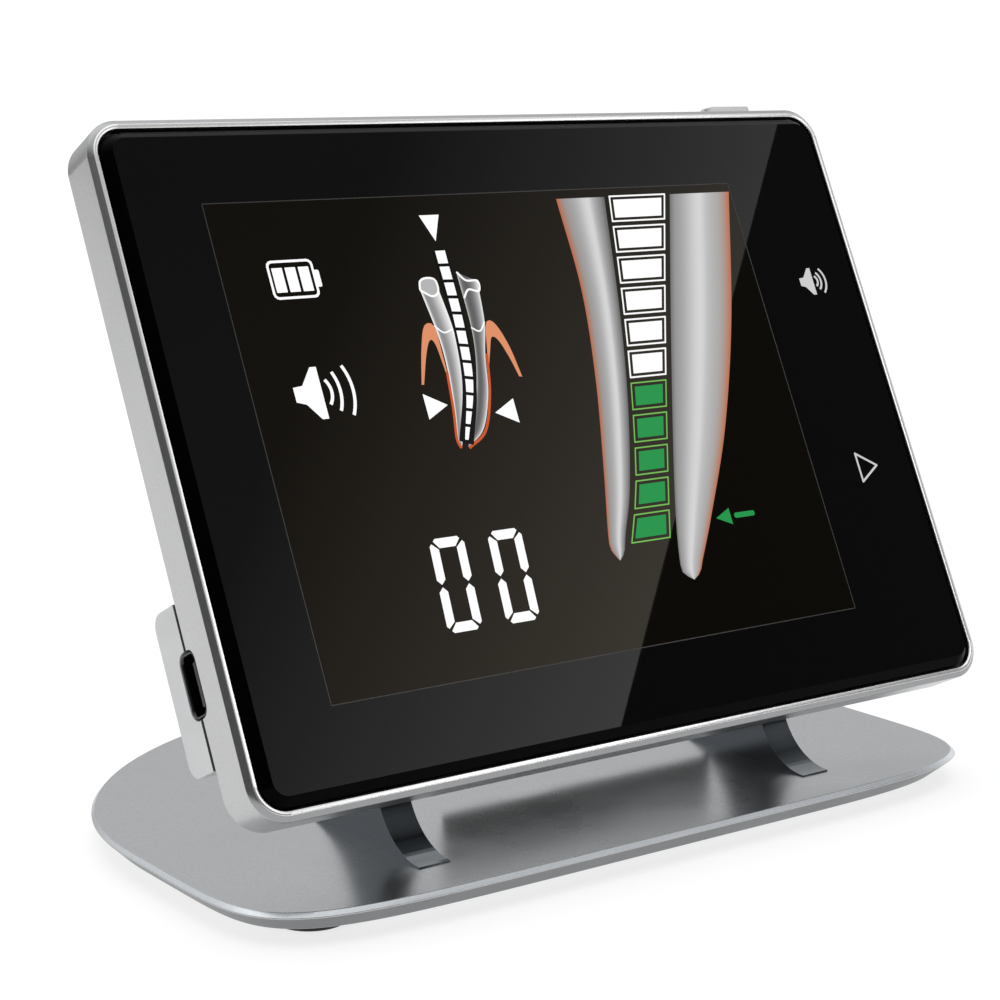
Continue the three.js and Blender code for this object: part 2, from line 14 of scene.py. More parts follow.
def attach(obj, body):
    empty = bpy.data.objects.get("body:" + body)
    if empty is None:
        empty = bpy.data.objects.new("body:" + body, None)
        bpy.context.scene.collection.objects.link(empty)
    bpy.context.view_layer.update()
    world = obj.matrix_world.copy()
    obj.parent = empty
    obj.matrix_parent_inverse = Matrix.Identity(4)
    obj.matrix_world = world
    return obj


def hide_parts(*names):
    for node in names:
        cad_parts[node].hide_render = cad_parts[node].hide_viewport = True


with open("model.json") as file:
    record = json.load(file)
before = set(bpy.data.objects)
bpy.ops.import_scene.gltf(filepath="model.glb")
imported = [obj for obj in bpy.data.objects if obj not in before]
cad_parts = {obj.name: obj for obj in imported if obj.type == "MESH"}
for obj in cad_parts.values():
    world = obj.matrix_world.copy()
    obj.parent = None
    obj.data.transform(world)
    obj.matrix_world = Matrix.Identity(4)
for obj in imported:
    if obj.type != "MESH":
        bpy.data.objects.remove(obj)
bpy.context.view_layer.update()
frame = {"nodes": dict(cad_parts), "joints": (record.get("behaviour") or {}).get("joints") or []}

MM = 0.001

# ---------------------------------------------------------------- places
# Pieces are drawn in millimetres in one of two frames: the stand's, which is the row frame,
# and the head's: x across, y behind the glass face, z up from the frame's lower edge.

STAND = Matrix.Scale(MM, 4)


def head_frame():
    press = next(joint for joint in frame["joints"] if joint["name"] == "power_button_press")
    up = -Vector(press["axis"])
    back = Vector((0, up.z, -up.y))
    glass = [vertex.co.dot(back) for vertex in frame["nodes"]["cover_glass"].data.vertices]
    rim = [vertex.co.dot(up) for vertex in frame["nodes"]["front_frame"].data.vertices]
    place = Matrix((Vector((1, 0, 0)), back, up)).transposed().to_4x4()
    place.translation = back * min(glass) + up * min(rim)
    return place @ Matrix.Scale(MM, 4)


HEAD = head_frame()


def box_in(place, node):
    """Lowest and highest corner of a CAD node in one of the two frames, in millimetres."""
    back_to_mm = place.inverted()
    points = [back_to_mm @ vertex.co for vertex in frame["nodes"][node].data.vertices]
    lo = Vector([min(point[axis] for point in points) for axis in range(3)])
    hi = Vector([max(point[axis] for point in points) for axis in range(3)])
    return lo, hi


# ---------------------------------------------------------------- driving dimensions, millimetres

BASE_LO, BASE_HI = box_in(STAND, "base_plate")
RIM_LO, RIM_HI = box_in(HEAD, "front_frame")
_, GLASS_HI = box_in(HEAD, "cover_glass")
HUMP_LO, HUMP_HI = box_in(HEAD, "rear_housing")
DOOR_LO, DOOR_HI = box_in(HEAD, "battery_door")
BUTTON_LO, BUTTON_HI = box_in(HEAD, "power_button")
SHELL_LO, SHELL_HI = box_in(HEAD, "socket_shell")
PANEL_LO, PANEL_HI = box_in(HEAD, "lcd_panel")
PIN_LO, PIN_HI = box_in(HEAD, "hinge_pin_left")

GAP = 0.3
BASE_FRONT_DEPTH = 38.2          # widest line to the straight front edge
BASE_FRONT_POWER = 2 / 6.5       # squarish front half
BASE_REAR_POWER = 2 / 2.04       # almost elliptical rear half
BASE_UNDERCUT = 2.6
BASE_CHAMFER = 0.6
BASE_WIDEST_BELOW_TOP = 0.6

RIM_CORNER = 5.2
RIM_WALL = 1.5
RIM_SIDE_START = 1.5
RIM_LEDGE_WIDTH = 2.5
RIM_LEDGE_START = 2.2
RIM_LEDGE_END = 3.2
GLASS_BEVEL = 1.3
GLASS_BEVEL_DEPTH = 1.1
SOCKET_CORNER = 1.35
SOCKET_WALL = 0.35
SOCKET_GAP = 0.25
COVER_OPENING_HALF_WIDTH = 58
COVER_OPENING_INSET = 2.4        # from the hump's upper and lower sides
COVER_SINK = (2.3, 0.7, 1.3)     # radius and depth of a screw head's sink, radius of the shaft's hole
HINGE_SINK = (2.25, 0.8, 1.25)
HUMP_CORNER = 2.2
HUMP_WALL = 1.5
SLOT_HALF_WIDTH = 3.3            # slots for the arms
SLOT_ABOVE_PIN = 3.8
POCKET_LEDGE = (4, 2)            # that the battery door rests on, at its ends and along its sides
GRILLE_HALF_LENGTH = 4
GRILLE_PITCH = 2
GRILLE_SLIT = 0.9
GROOVE_HALF_LENGTH = 6           # finger grooves in the battery door
GROOVE_START = 1.9               # from the door's lower edge
GROOVE_PITCH = 1.1
GROOVE_WIDTH = 0.6
GROOVE_DEPTH = 0.35
DOOR_SCREW_HOLE = 0.95
SINK_CLEARANCE = 0.25            # round the heads of the arm screws
SINK_DEPTH = 1.6
ARM_TOE = 0.2
ARM_FRONT_FILLET = 10.3
ARM_REAR_FILLET = 14.0
ARM_KNUCKLE = 3.0
ARM_KNUCKLE_BEHIND_TOE = 11.4
ARM_SCREW_HEAD = 1.5
ARM_SCREW_SHAFT = 1.2
PIN_HOLE_RADIUS = 1.65
BUTTON_FLANGE = 0.7              # how far the flange inside the rim stands out past the cap
BUTTON_LIP = 0.4
BUTTON_FLANGE_THICKNESS = 0.8
LCD_BORDER = 3.5                 # hidden margin of the panel round its visible window
KEY_SOUND = (52.8, 64.9)
KEY_PLAY = (52.3, 34.4)

WINDOW_X = PANEL_LO.x + LCD_BORDER
WINDOW_Z = PANEL_LO.z + LCD_BORDER
WINDOW_WIDTH = PANEL_HI.x - PANEL_LO.x - 2 * LCD_BORDER
WINDOW_HEIGHT = PANEL_HI.z - PANEL_LO.z - 2 * LCD_BORDER


def numbered(name, count):
    return [f"{name}_{number}" for number in range(1, count + 1)]


ARM_SCREWS = numbered("arm_screw", 4)
COVER_SCREWS = numbered("cover_screw", 4)
HINGE_SCREWS = numbered("hinge_screw", 4)
DOOR_SCREWS = numbered("door_screw", 2)


# ---------------------------------------------------------------- materials

def new_node(tree, kind, values=None, feeds=None, **settings):
    """A shader node with its settings, its constant inputs and the outputs that feed other inputs."""
    node = tree.nodes.new(kind)
    for name, value in settings.items():
        setattr(node, name, value)
    for socket, value in (values or {}).items():
        node.inputs[socket].default_value = value
    for socket, source in (feeds or {}).items():
        tree.links.new(source, node.inputs[socket])
    return node


def grey(level):
    return (level, level, level)


class Look:
    """A node-based material under construction."""

    def __init__(self, name, colour, metallic=0.0, roughness=0.5):
        self.material = bpy.data.materials.new(name)
        self.material.use_nodes = True
        self.tree = self.material.node_tree
        self.shader = self.tree.nodes["Principled BSDF"]
        self.colour = (*colour, 1)
        self.roughness = roughness
        self.set("Base Color", self.colour)
        self.set("Metallic", metallic)
        self.set("Roughness", roughness)
        self.coordinates = self.node("ShaderNodeTexCoord").outputs

    def set(self, socket, value):
        self.shader.inputs[socket].default_value = value

    def feed(self, socket, source):
        self.tree.links.new(source, self.shader.inputs[socket])

    def node(self, kind, values=None, feeds=None, **settings):
        return new_node(self.tree, kind, values, feeds, **settings)

    def noise(self, scale, detail, stretch=(1, 1, 1)):
        place = self.node("ShaderNodeMapping", {"Scale": stretch}, {"Vector": self.coordinates["Object"]})
        return self.node(
            "ShaderNodeTexNoise", {"Scale": scale, "Detail": detail}, {"Vector": place.outputs["Vector"]},
        ).outputs["Fac"]

    def spread(self, source, low, high):
        """source, from about 0.3 to 0.7, becomes low to high."""
        limits = {"From Min": 0.3, "From Max": 0.7, "To Min": low, "To Max": high}
        return self.node("ShaderNodeMapRange", limits, {"Value": source}).outputs["Result"]

    def vary_roughness(self, source, amount):
        self.feed("Roughness", self.spread(source, self.roughness - amount, self.roughness + amount))

    def vary_colour(self, source, amount):
        """The colour drifts by plus or minus amount, as a fraction."""
        ends = {}
        for socket, factor in (("A", 1 - amount), ("B", 1 + amount)):
            ends[socket] = [min(channel * factor, 1) for channel in self.colour[:3]] + [1]
        mix = self.node("ShaderNodeMix", ends, {"Factor": self.spread(source, 0, 1)}, data_type="RGBA")
        self.feed("Base Color", mix.outputs["Result"])
        return mix.outputs["Result"]

    def wear_edges(self, base, worn, radius=0.25, strength=0.6):
        """Edges, found by comparing a rounded normal with the true one, take the worn colour."""
        rounded = self.node("ShaderNodeBevel", {"Radius": radius * MM}, samples=4).outputs["Normal"]
        true = self.node("ShaderNodeNewGeometry").outputs["Normal"]
        likeness = self.node("ShaderNodeVectorMath", feeds={0: rounded, 1: true}, operation="DOT_PRODUCT")
        limits = {"From Min": 0.995, "From Max": 0.9, "To Max": strength}
        edge = self.node("ShaderNodeMapRange", limits, {"Value": likeness.outputs["Value"]})
        feeds = {"A": base, "Factor": edge.outputs["Result"]}
        mix = self.node("ShaderNodeMix", {"B": (*worn, 1)}, feeds, data_type="RGBA")
        self.feed("Base Color", mix.outputs["Result"])

    def bump(self, source, depth):
        bump = self.node("ShaderNodeBump", {"Distance": depth * MM, "Strength": 1}, {"Height": source})
        self.feed("Normal", bump.outputs["Normal"])


def blasted_metal(name, colour, roughness, grain=0.004, worn=(0.85, 0.86, 0.87)):
    """Bead-blasted and anodised metal: fine pits, slow cloudy roughness, slightly polished edges."""
    look = Look(name, colour, 1.0, roughness)
    look.vary_roughness(look.noise(90, 4), 0.035)
    mixed = look.vary_colour(look.noise(2600, 2), 0.05)
    look.wear_edges(mixed, worn)
    look.bump(look.noise(5200, 2), grain)
    return look.material


def brushed_metal(name, colour, roughness, stretch, worn=grey(0.9), grain=0.004, vary=0.08):
    """Turned or brushed metal: long fine scratches along one axis."""
    look = Look(name, colour, 1.0, roughness)
    scratches = look.noise(3000, 4, stretch)
    look.vary_roughness(scratches, 0.5 * vary)
    mixed = look.vary_colour(scratches, vary)
    look.wear_edges(mixed, worn)
    look.bump(scratches, grain)
    return look.material


def moulded_plastic(name, colour, roughness, grain=0.012, metallic=0.0):
    """Moulded plastic: spark-eroded texture, faint flow marks."""
    look = Look(name, colour, metallic, roughness)
    look.vary_roughness(look.noise(150, 3), 0.05)
    mixed = look.vary_colour(look.noise(60, 3, (1, 1, 3)), 0.04)
    look.wear_edges(mixed, [min(channel * 1.25 + 0.01, 1) for channel in colour], 0.2, 0.5)
    look.bump(look.noise(3800, 3), grain)
    return look.material


def printed_glass(
    name, black, specks=(900, 2), depth=0.3, ior=1.25, roughness=0.012, clouds=(35, 5), dull=0.005,
):
    """Smooth glass over a black print: specks in the black, and faint clouds that dull the gloss."""
    look = Look(name, black, 0.0, roughness)
    look.vary_roughness(look.noise(*clouds), dull)
    look.vary_colour(look.noise(*specks), depth)
    look.set("IOR", ior)
    return look.material


def window_glass():
    """The display window behind the same glass: a warmer black with the panel's fine lines."""
    material = printed_glass("display_window", (0.0022, 0.0016, 0.0009), (2400, 1, (1, 1, 4)), 0.25)
    material.node_tree.nodes["Principled BSDF"].inputs["Specular Tint"].default_value = (1.0, 0.86, 0.66, 1)
    return material


def lit(name, colour, strength=0.9):
    """A lit area of the display: an even glow with the panel's fine cell pattern."""
    look = Look(name, [channel * 0.05 for channel in colour], 0.0, 0.25)
    look.vary_colour(look.noise(9000, 1), 0.1)
    look.set("IOR", 1.2)
    ends = {"A": [*(channel * 0.97 for channel in colour), 1], "B": [*colour, 1]}
    glow = look.node("ShaderNodeMix", ends, {"Factor": look.noise(4000, 1)}, data_type="RGBA")
    look.feed("Emission Color", glow.outputs["Result"])
    look.set("Emission Strength", strength)
    return look.material


def lit_gradient(name, stops):
    """A lit area shaded across its width, from stops of (place, colour)."""
    look = Look(name, grey(0.02), 0.0, 0.3)
    look.set("IOR", 1.2)
    split = look.node("ShaderNodeSeparateXYZ", feeds={"Vector": look.coordinates["UV"]})
    ramp = look.node("ShaderNodeValToRGB", feeds={"Fac": split.outputs["X"]})
    ramp.color_ramp.interpolation = "B_SPLINE"
    elements = ramp.color_ramp.elements
    for place, _ in stops[1:-1]:
        elements.new(place)
    for element, (place, colour) in zip(elements, stops):
        element.position = place
        element.color = (*colour, 1)
    look.feed("Emission Color", ramp.outputs["Color"])
    look.set("Emission Strength", 0.95)
    return look.material


def circuit_board():
    """Green solder resist with copper tracks showing through as paler lines."""
    look = Look("circuit_board", (0.012, 0.09, 0.035), 0.0, 0.4)
    tracks = look.node("ShaderNodeTexBrick", {
        "Scale": 220, "Mortar Size": 0.03, "Color1": look.colour,
        "Color2": (0.014, 0.1, 0.04, 1), "Mortar": (0.05, 0.2, 0.08, 1),
    }, {"Vector": look.coordinates["Object"]})
    look.feed("Base Color", tracks.outputs["Color"])
    look.vary_roughness(look.noise(800, 3), 0.1)
    look.bump(tracks.outputs["Fac"], 0.03)
    return look.material


def foil_pouch():
    """Heat-sealed battery foil, slightly crumpled."""
    look = Look("foil_pouch", (0.55, 0.57, 0.6), 1.0, 0.32)
    look.vary_roughness(look.noise(300, 4), 0.08)
    look.vary_colour(look.noise(120, 3), 0.08)
    look.bump(look.noise(260, 4), 0.08)
    return look.material


SATIN = blasted_metal("satin_aluminium", (0.43, 0.44, 0.455), 0.28, 0.0012)
RIM_SATIN = blasted_metal("rim_aluminium", (0.5, 0.502, 0.505), 0.3, 0.002)
# Painted light on the rim: the chamfer takes a darker copy of the metal, painted shade for the dark it
# mirrors, and the crest a near-white one, a painted highlight.
RIM_CHAMFER_SHADE = brushed_metal(
    "rim_chamfer_painted_shade", (0.32, 0.325, 0.33), 0.24, (1, 1, 0.2), (0.36, 0.365, 0.37), 0.0003, 0.03,
)
RIM_CREST_HIGHLIGHT = brushed_metal("rim_crest_painted_highlight", grey(0.98), 0.24, (1, 1, 0.2), grey(0.98), 0.0003, 0.02)
# Painted light on the base: the undercut band is a darker copy of the satin metal, painted shade, and the top
# chamfer a paler bluish copy, a painted highlight.
UNDERCUT_SHADE = blasted_metal("base_undercut_painted_shade", (0.2, 0.205, 0.215), 0.4, worn=(0.3, 0.31, 0.32))
BASE_EDGE_HIGHLIGHT = blasted_metal("base_chamfer_painted_highlight", (0.62, 0.65, 0.68), 0.34, 0.002)
BUTTON_METAL = blasted_metal("button_cap", (0.84, 0.845, 0.85), 0.3, 0.0005)
ARM_METAL = blasted_metal("dark_aluminium", (0.15, 0.165, 0.178), 0.17, 0.002, (0.25, 0.27, 0.29))
SHELL = moulded_plastic("silver_shell", (0.62, 0.63, 0.635), 0.42, metallic=0.3)
STEEL = brushed_metal("steel", (0.56, 0.565, 0.57), 0.25, (1, 0.05, 1))
BRASS = brushed_metal("brass", (0.7, 0.5, 0.2), 0.3, (0.05, 1, 1), (0.9, 0.75, 0.4))
BLACK_PLASTIC = moulded_plastic("black_plastic", grey(0.012), 0.35)
# Painted shade: a dark grey that the hump's front face and hollow take, so the seam between rim and hump
# looks shadowed.
SEAM_SHADE = moulded_plastic("seam_painted_shade", (0.09, 0.09, 0.092), 0.5)
SOCKET_BLACK = moulded_plastic("socket_black", grey(0.002), 0.12, 0.003)
RUBBER = moulded_plastic("foot_rubber", (0.016, 0.016, 0.017), 0.75, 0.03)
BOARD = circuit_board()
FOIL = foil_pouch()
GLASS = printed_glass("black_glass", grey(0.0008))
# Painted shade: a copy of the black glass with a low IOR for the bevel, so that it mirrors less than the
# face.
GLASS_EDGE_SHADE = printed_glass(
    "glass_edge_painted_shade", grey(0.0006), ior=1.09, roughness=0.03, clouds=(60, 4), dull=0.01,
)
WINDOW = window_glass()


# ---------------------------------------------------------------- mesh helpers

def in_scene(name, data):
    item = bpy.data.objects.new(name, data)
    bpy.context.scene.collection.objects.link(item)
    return item


def as_object(name, points, faces, place, looks):
    mesh = bpy.data.meshes.new(name)
    mesh.from_pydata([place @ Vector(point) for point in points], [], faces)
    for look in looks:
        mesh.materials.append(look)
    build = bmesh.new()
    build.from_mesh(mesh)
    bmesh.ops.recalc_face_normals(build, faces=build.faces)
    build.to_mesh(mesh)
    build.free()
    mesh.shade_smooth()
    return in_scene(name, mesh)


def loft_faces(ring_count, size, closed):
    """Faces of a skin over equal rings. A closed loft returns to its first ring, an open one is capped."""
    faces = []
    for band in range(ring_count if closed else ring_count - 1):
        here = band * size
        onward = (band + 1) % ring_count * size
        for i in range(size):
            j = (i + 1) % size
            faces.append((here + i, here + j, onward + j, onward + i))
    if not closed:
        faces.append(tuple(range(size)))
        faces.append(tuple(range((ring_count - 1) * size, ring_count * size)))
    return faces


def loft(name, rings, place, looks, closed=False):
    points = [point for ring in rings for point in ring]
    return as_object(name, points, loft_faces(len(rings), len(rings[0]), closed), place, looks)


def arc(centre, radius, start, end, steps):
    """Points on a circular arc, angles in degrees."""
    points = []
    for step in range(steps + 1):
        angle = math.radians(start + (end - start) * step / steps)
        points.append((centre[0] + radius * math.cos(angle), centre[1] + radius * math.sin(angle)))
    return points


def rounded_rectangle(x0, x1, y0, y1, radius, steps=8):
    points = []
    for centre, start in (
        ((x1 - radius, y0 + radius), -90),
        ((x1 - radius, y1 - radius), 0),
        ((x0 + radius, y1 - radius), 90),
        ((x0 + radius, y0 + radius), 180),
    ):
        points += arc(centre, radius, start, start + 90, steps)
    return points


def lifted(outline, level, axis):
    """An outline's (first, second) points as points in space, at one level along an axis."""
    ring = []
    for first, second in outline:
        point = [first, second]
        point.insert(axis, level)
        ring.append(point)
    return ring


def prism(name, outline, low, high, axis, place, looks):
    """An outline of (first, second) points filled from low to high along an axis, 0 for x to 2 for z."""
    return loft(name, [lifted(outline, level, axis) for level in (low, high)], place, looks)


def turned(name, profile, place, looks, steps=48, axis=2):
    """A solid of revolution from (radius, height) points, the first and last of them on the axis."""
    turns = [math.tau * step / steps for step in range(steps)]
    rings = []
    for radius, height in profile[1:-1]:
        circle = [(radius * math.cos(turn), radius * math.sin(turn)) for turn in turns]
        rings.append(lifted(circle, height, axis))
    return loft(name, rings, place, looks)


def carve(piece, cutters):
    """Cuts the cutters out of piece and removes them."""
    for tool in cutters:
        modifier = piece.modifiers.new("cut", "BOOLEAN")
        modifier.operation = "DIFFERENCE"
        modifier.solver = "EXACT"
        modifier.object = tool
    depsgraph = bpy.context.evaluated_depsgraph_get()
    carved = bpy.data.meshes.new_from_object(piece.evaluated_get(depsgraph))
    piece.modifiers.clear()
    piece.data = carved
    for tool in cutters:
        bpy.data.objects.remove(tool)


def soften(piece, width, segments=3):
    """Rounds the sharp edges of piece."""
    bevel = piece.modifiers.new("round", "BEVEL")
    bevel.width = width * MM
    bevel.segments = segments
    bevel.limit_method = "ANGLE"
    bevel.angle_limit = math.radians(34)
    return even_normals(piece)


def even_normals(piece):
    """Shades flat faces flat, whatever narrow rounding they meet."""
    even = piece.modifiers.new("even", "WEIGHTED_NORMAL")
    even.weight = 100
    even.keep_sharp = True
    return piece


def box_outline(x0, x1, y0, y1):
    return [(x0, y0), (x1, y0), (x1, y1), (x0, y1)]


def cutter(outline, low, high, axis, place=HEAD):
    return prism("cutter", outline, low, high, axis, place, [])


def box_cutter(x0, x1, y0, y1, z0, z1):
    return cutter(box_outline(x0, x1, y0, y1), z0, z1, 2)


def cylinder_cutter(centre, radius, low, high, axis, place=HEAD):
    steps = 32
    outline = arc(centre, radius, 0, 360 * (steps - 1) / steps, steps - 1)
    return cutter(outline, low, high, axis, place)


def middle(lo, hi, *axes):
    """The middle of a box, as its places along these axes."""
    return tuple((lo[axis] + hi[axis]) / 2 for axis in axes)


def paint_bands(loft_piece, ring_size, slots):
    """Gives the first bands of a loft, in order, their material slots. All other faces keep slot 0."""
    for polygon in loft_piece.data.polygons:
        band_number = polygon.index // ring_size
        if band_number < len(slots):
            polygon.material_index = slots[band_number]


def add(piece, body, slot, *nodes):
    """Puts a finished piece on its body, in place of the CAD nodes it stands for."""
    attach(piece, body)
    if nodes:
        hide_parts(*nodes)


# ---------------------------------------------------------------- stand

def base_ring(inset, height, steps=240):
    half_width = BASE_HI.x - inset
    widest = BASE_LO.y + BASE_FRONT_DEPTH
    ring = []
    for step in range(steps):
        angle = math.tau * step / steps
        cosine, sine = math.cos(angle), math.sin(angle)
        power = BASE_FRONT_POWER if sine < 0 else BASE_REAR_POWER
        reach = (widest - BASE_LO.y if sine < 0 else BASE_HI.y - widest) - inset
        x = half_width * math.copysign(abs(cosine) ** power, cosine)
        y = widest + reach * math.copysign(abs(sine) ** power, sine)
        ring.append((x, y, height))
    return ring


def countersinks():
    """Cutters for the screw holes under the plate, a little wider than the heads."""
    cutters = []
    for node in ARM_SCREWS:
        lo, hi = box_in(STAND, node)
        radius = (hi.x - lo.x) / 2 + SINK_CLEARANCE
        centre = middle(lo, hi, 0, 1)
        cutters.append(cylinder_cutter(centre, radius, BASE_LO.z - 1, lo.z + SINK_DEPTH, 2, STAND))
    return cutters


def base_plate():
    """Bead-blasted plate. Every edge is a narrow radius, as a cutter and a tumbler leave it."""
    bottom, top = BASE_LO.z, BASE_HI.z
    widest = top - BASE_WIDEST_BELOW_TOP
    profile = [
        (BASE_UNDERCUT + 2.5, bottom),
        (BASE_UNDERCUT + 0.5, bottom),
        (BASE_UNDERCUT + 0.25, bottom),
        (BASE_UNDERCUT + 0.08, bottom + 0.03),
        (BASE_UNDERCUT - 0.1, bottom + 0.14),
        (0.12, widest - 0.16),
        (0.0, widest),
        (0.06, widest + 0.08),
        (BASE_CHAMFER - 0.08, top - 0.05),
        (BASE_CHAMFER + 0.02, top - 0.01),
        (BASE_CHAMFER + 0.12, top),
        (BASE_CHAMFER + 0.4, top),
        (BASE_CHAMFER + 2.5, top),
    ]
    rings = [base_ring(*row) for row in profile]
    plate = loft("base_plate_fine", rings, STAND, [SATIN, UNDERCUT_SHADE, BASE_EDGE_HIGHLIGHT])
    # Band 4, the undercut, takes the painted shade; band 7, the top chamfer, the painted highlight.
    paint_bands(plate, len(rings[0]), [0, 0, 0, 0, 1, 0, 0, 2])
    carve(plate, countersinks())
    add(even_normals(plate), "stand", "satin_aluminium", "base_plate")


def arm_slices(lo, hi):
    """Heights of an arm, each with its front and back: hollow feet, a neck and a round knuckle."""
    floor = lo.z + ARM_TOE
    front_centre, rear_centre = floor + ARM_FRONT_FILLET, floor + ARM_REAR_FILLET
    knuckle_y, knuckle_z = lo.y + ARM_KNUCKLE_BEHIND_TOE, hi.z - ARM_KNUCKLE
    heights = {lo.z, front_centre, rear_centre}
    for step in range(25):
        lift = 1 - math.cos(math.pi / 2 * step / 24)
        heights.update((floor + ARM_FRONT_FILLET * lift, floor + ARM_REAR_FILLET * lift))
        heights.add(knuckle_z + ARM_KNUCKLE * math.sin(math.radians(88) * step / 24))

    def reach(z, start, fillet, centre):
        """How far the hollow side stands in from the start of its foot, up to the knuckle."""
        if z <= floor:
            return 0
        if z <= centre:
            return math.sqrt(max(fillet ** 2 - (centre - z) ** 2, 0))
        along = (z - centre) / (knuckle_z - centre)
        return fillet + along * (abs(knuckle_y - start) - ARM_KNUCKLE - fillet)

    slices = []
    for z in sorted(heights):
        if z <= knuckle_z:
            front = lo.y + reach(z, lo.y, ARM_FRONT_FILLET, front_centre)
            back = hi.y - reach(z, hi.y, ARM_REAR_FILLET, rear_centre)
        else:
            half = math.sqrt(ARM_KNUCKLE ** 2 - (z - knuckle_z) ** 2)
            front, back = knuckle_y - half, knuckle_y + half
        slices.append((z, front, back))
    return slices


def arms():
    for node in ("arm_left", "arm_right"):
        lo, hi = box_in(STAND, node)
        rings = [lifted(box_outline(lo.x, hi.x, front, back), z, 2) for z, front, back in arm_slices(lo, hi)]
        arm = loft(f"{node}_fine", rings, STAND, [ARM_METAL])
        centre = (lo.y + ARM_KNUCKLE_BEHIND_TOE, hi.z - ARM_KNUCKLE)
        carve(arm, [cylinder_cutter(centre, PIN_HOLE_RADIUS, lo.x - 1, hi.x + 1, 0, STAND)])
        add(soften(arm, 0.16), "stand", "dark_aluminium", node)


def cross_recess(size, depth_from, depth_to, axis, place):
    """Two bars that make the cross of a screw head."""
    cutters = []
    for long_side, short_side in ((size, size * 0.24), (size * 0.24, size)):
        outline = box_outline(-long_side, long_side, -short_side, short_side)
        cutters.append(cutter(outline, depth_from, depth_to, axis, place))
    return cutters


def arm_screws():
    for node in ARM_SCREWS:
        lo, hi = box_in(STAND, node)
        radius, length = (hi.x - lo.x) / 2, hi.z - lo.z
        profile = [
            (0, 0), (radius - 0.35, 0), (radius - 0.1, 0.08), (radius, 0.3), (radius, ARM_SCREW_HEAD),
            (ARM_SCREW_SHAFT, ARM_SCREW_HEAD), (ARM_SCREW_SHAFT, length), (0, length),
        ]
        place = STAND @ Matrix.Translation((*middle(lo, hi, 0, 1), lo.z))
        screw = turned(f"{node}_fine", profile, place, [STEEL])
        carve(screw, cross_recess(1.3, -0.5, 0.7, 2, place))
        add(even_normals(screw), "stand", "steel", node)


def feet():
    """Moulded rubber feet: rounded tread and a shallow ring groove."""
    for side in ("front_left", "front_right", "rear_left", "rear_right"):
        node = f"foot_{side}"
        lo, hi = box_in(STAND, node)
        radius = (hi.x - lo.x) / 2
        place = STAND @ Matrix.Translation((*middle(lo, hi, 0, 1), 0))
        turns = (0.4, 0.8, 1.2, math.pi / 2)
        tread = [(radius - 0.5 + 0.5 * math.sin(turn), 0.5 - 0.5 * math.cos(turn)) for turn in turns]
        profile = [
            (0, 0), (2.6, 0), (2.8, 0.18), (3.2, 0.18), (3.4, 0), (radius - 0.5, 0),
            *tread, (radius, hi.z), (0, hi.z),
        ]
        foot = turned(f"{node}_fine", profile, place, [RUBBER], 64)
        add(even_normals(foot), "stand", "foot_rubber", node)


# ---------------------------------------------------------------- head: rim and glass

def head_ring(inset, depth, steps=20):
    """Rounded rectangle of the head's outline, drawn in by an inset, at one depth behind the glass face."""
    outline = rounded_rectangle(
        RIM_LO.x + inset, RIM_HI.x - inset, inset, RIM_HI.z - inset, max(RIM_CORNER - inset, 0.5), steps,
    )
    return lifted(outline, depth, 1)


def socket_outline(grow):
    """Outline of the lead socket in the (y, z) plane, drawn out by grow from its steel shell."""
    radius = SOCKET_CORNER + grow
    return rounded_rectangle(
        SHELL_LO.y - grow, SHELL_HI.y + grow, SHELL_LO.z - grow, SHELL_HI.z + grow, radius, 10,
    )


def socket_cutter(x0, x1, grow=0.0):
    return cutter(socket_outline(SOCKET_GAP + grow), x0, x1, 0)


def front_frame():
    """Aluminium ring: a polished crest next to the glass, near-white as a painted highlight; a cut chamfer in
    a darker copy of the metal, painted shade; and a blasted side wall.
    """
    crest = RIM_LO.y
    back = RIM_HI.y
    crest_profile = [
        (RIM_WALL, crest + 0.5), (RIM_WALL - 0.03, crest + 0.3), (RIM_WALL - 0.1, crest + 0.08),
        (RIM_WALL - 0.2, crest), (RIM_WALL - 0.66, crest),
    ]
    chamfer_profile = [(RIM_WALL - 0.72, crest + 0.03), (0.08, RIM_SIDE_START - 0.08)]
    side_profile = [
        (0.02, RIM_SIDE_START + 0.02), (0, RIM_SIDE_START + 0.12), (0, back - 0.3),
        (0.09, back - 0.09), (0.3, back), (RIM_WALL, back), (RIM_WALL, RIM_LEDGE_END),
        (RIM_WALL + RIM_LEDGE_WIDTH, RIM_LEDGE_END), (RIM_WALL + RIM_LEDGE_WIDTH, RIM_LEDGE_START),
        (RIM_WALL, RIM_LEDGE_START),
    ]
    profile = crest_profile + chamfer_profile + side_profile
    rings = [head_ring(*row) for row in profile]
    ring = loft("front_frame_fine", rings, HEAD, [RIM_SATIN, RIM_CREST_HIGHLIGHT, RIM_CHAMFER_SHADE], closed=True)
    # Crest bands take the painted highlight, chamfer bands the painted shade.
    paint_bands(ring, len(rings[0]), [1] * len(crest_profile) + [2] * len(chamfer_profile))
    button = box_cutter(
        BUTTON_LO.x + BUTTON_FLANGE - GAP, BUTTON_HI.x - BUTTON_FLANGE + GAP,
        BUTTON_LO.y + BUTTON_LIP - GAP, BUTTON_HI.y - BUTTON_LIP + GAP,
        RIM_HI.z - RIM_WALL - 1, RIM_HI.z + 1,
    )
    carve(ring, [button, socket_cutter(RIM_LO.x - 1, RIM_LO.x + RIM_WALL + 1)])
    add(even_normals(ring), "head", "satin_aluminium", "front_frame")


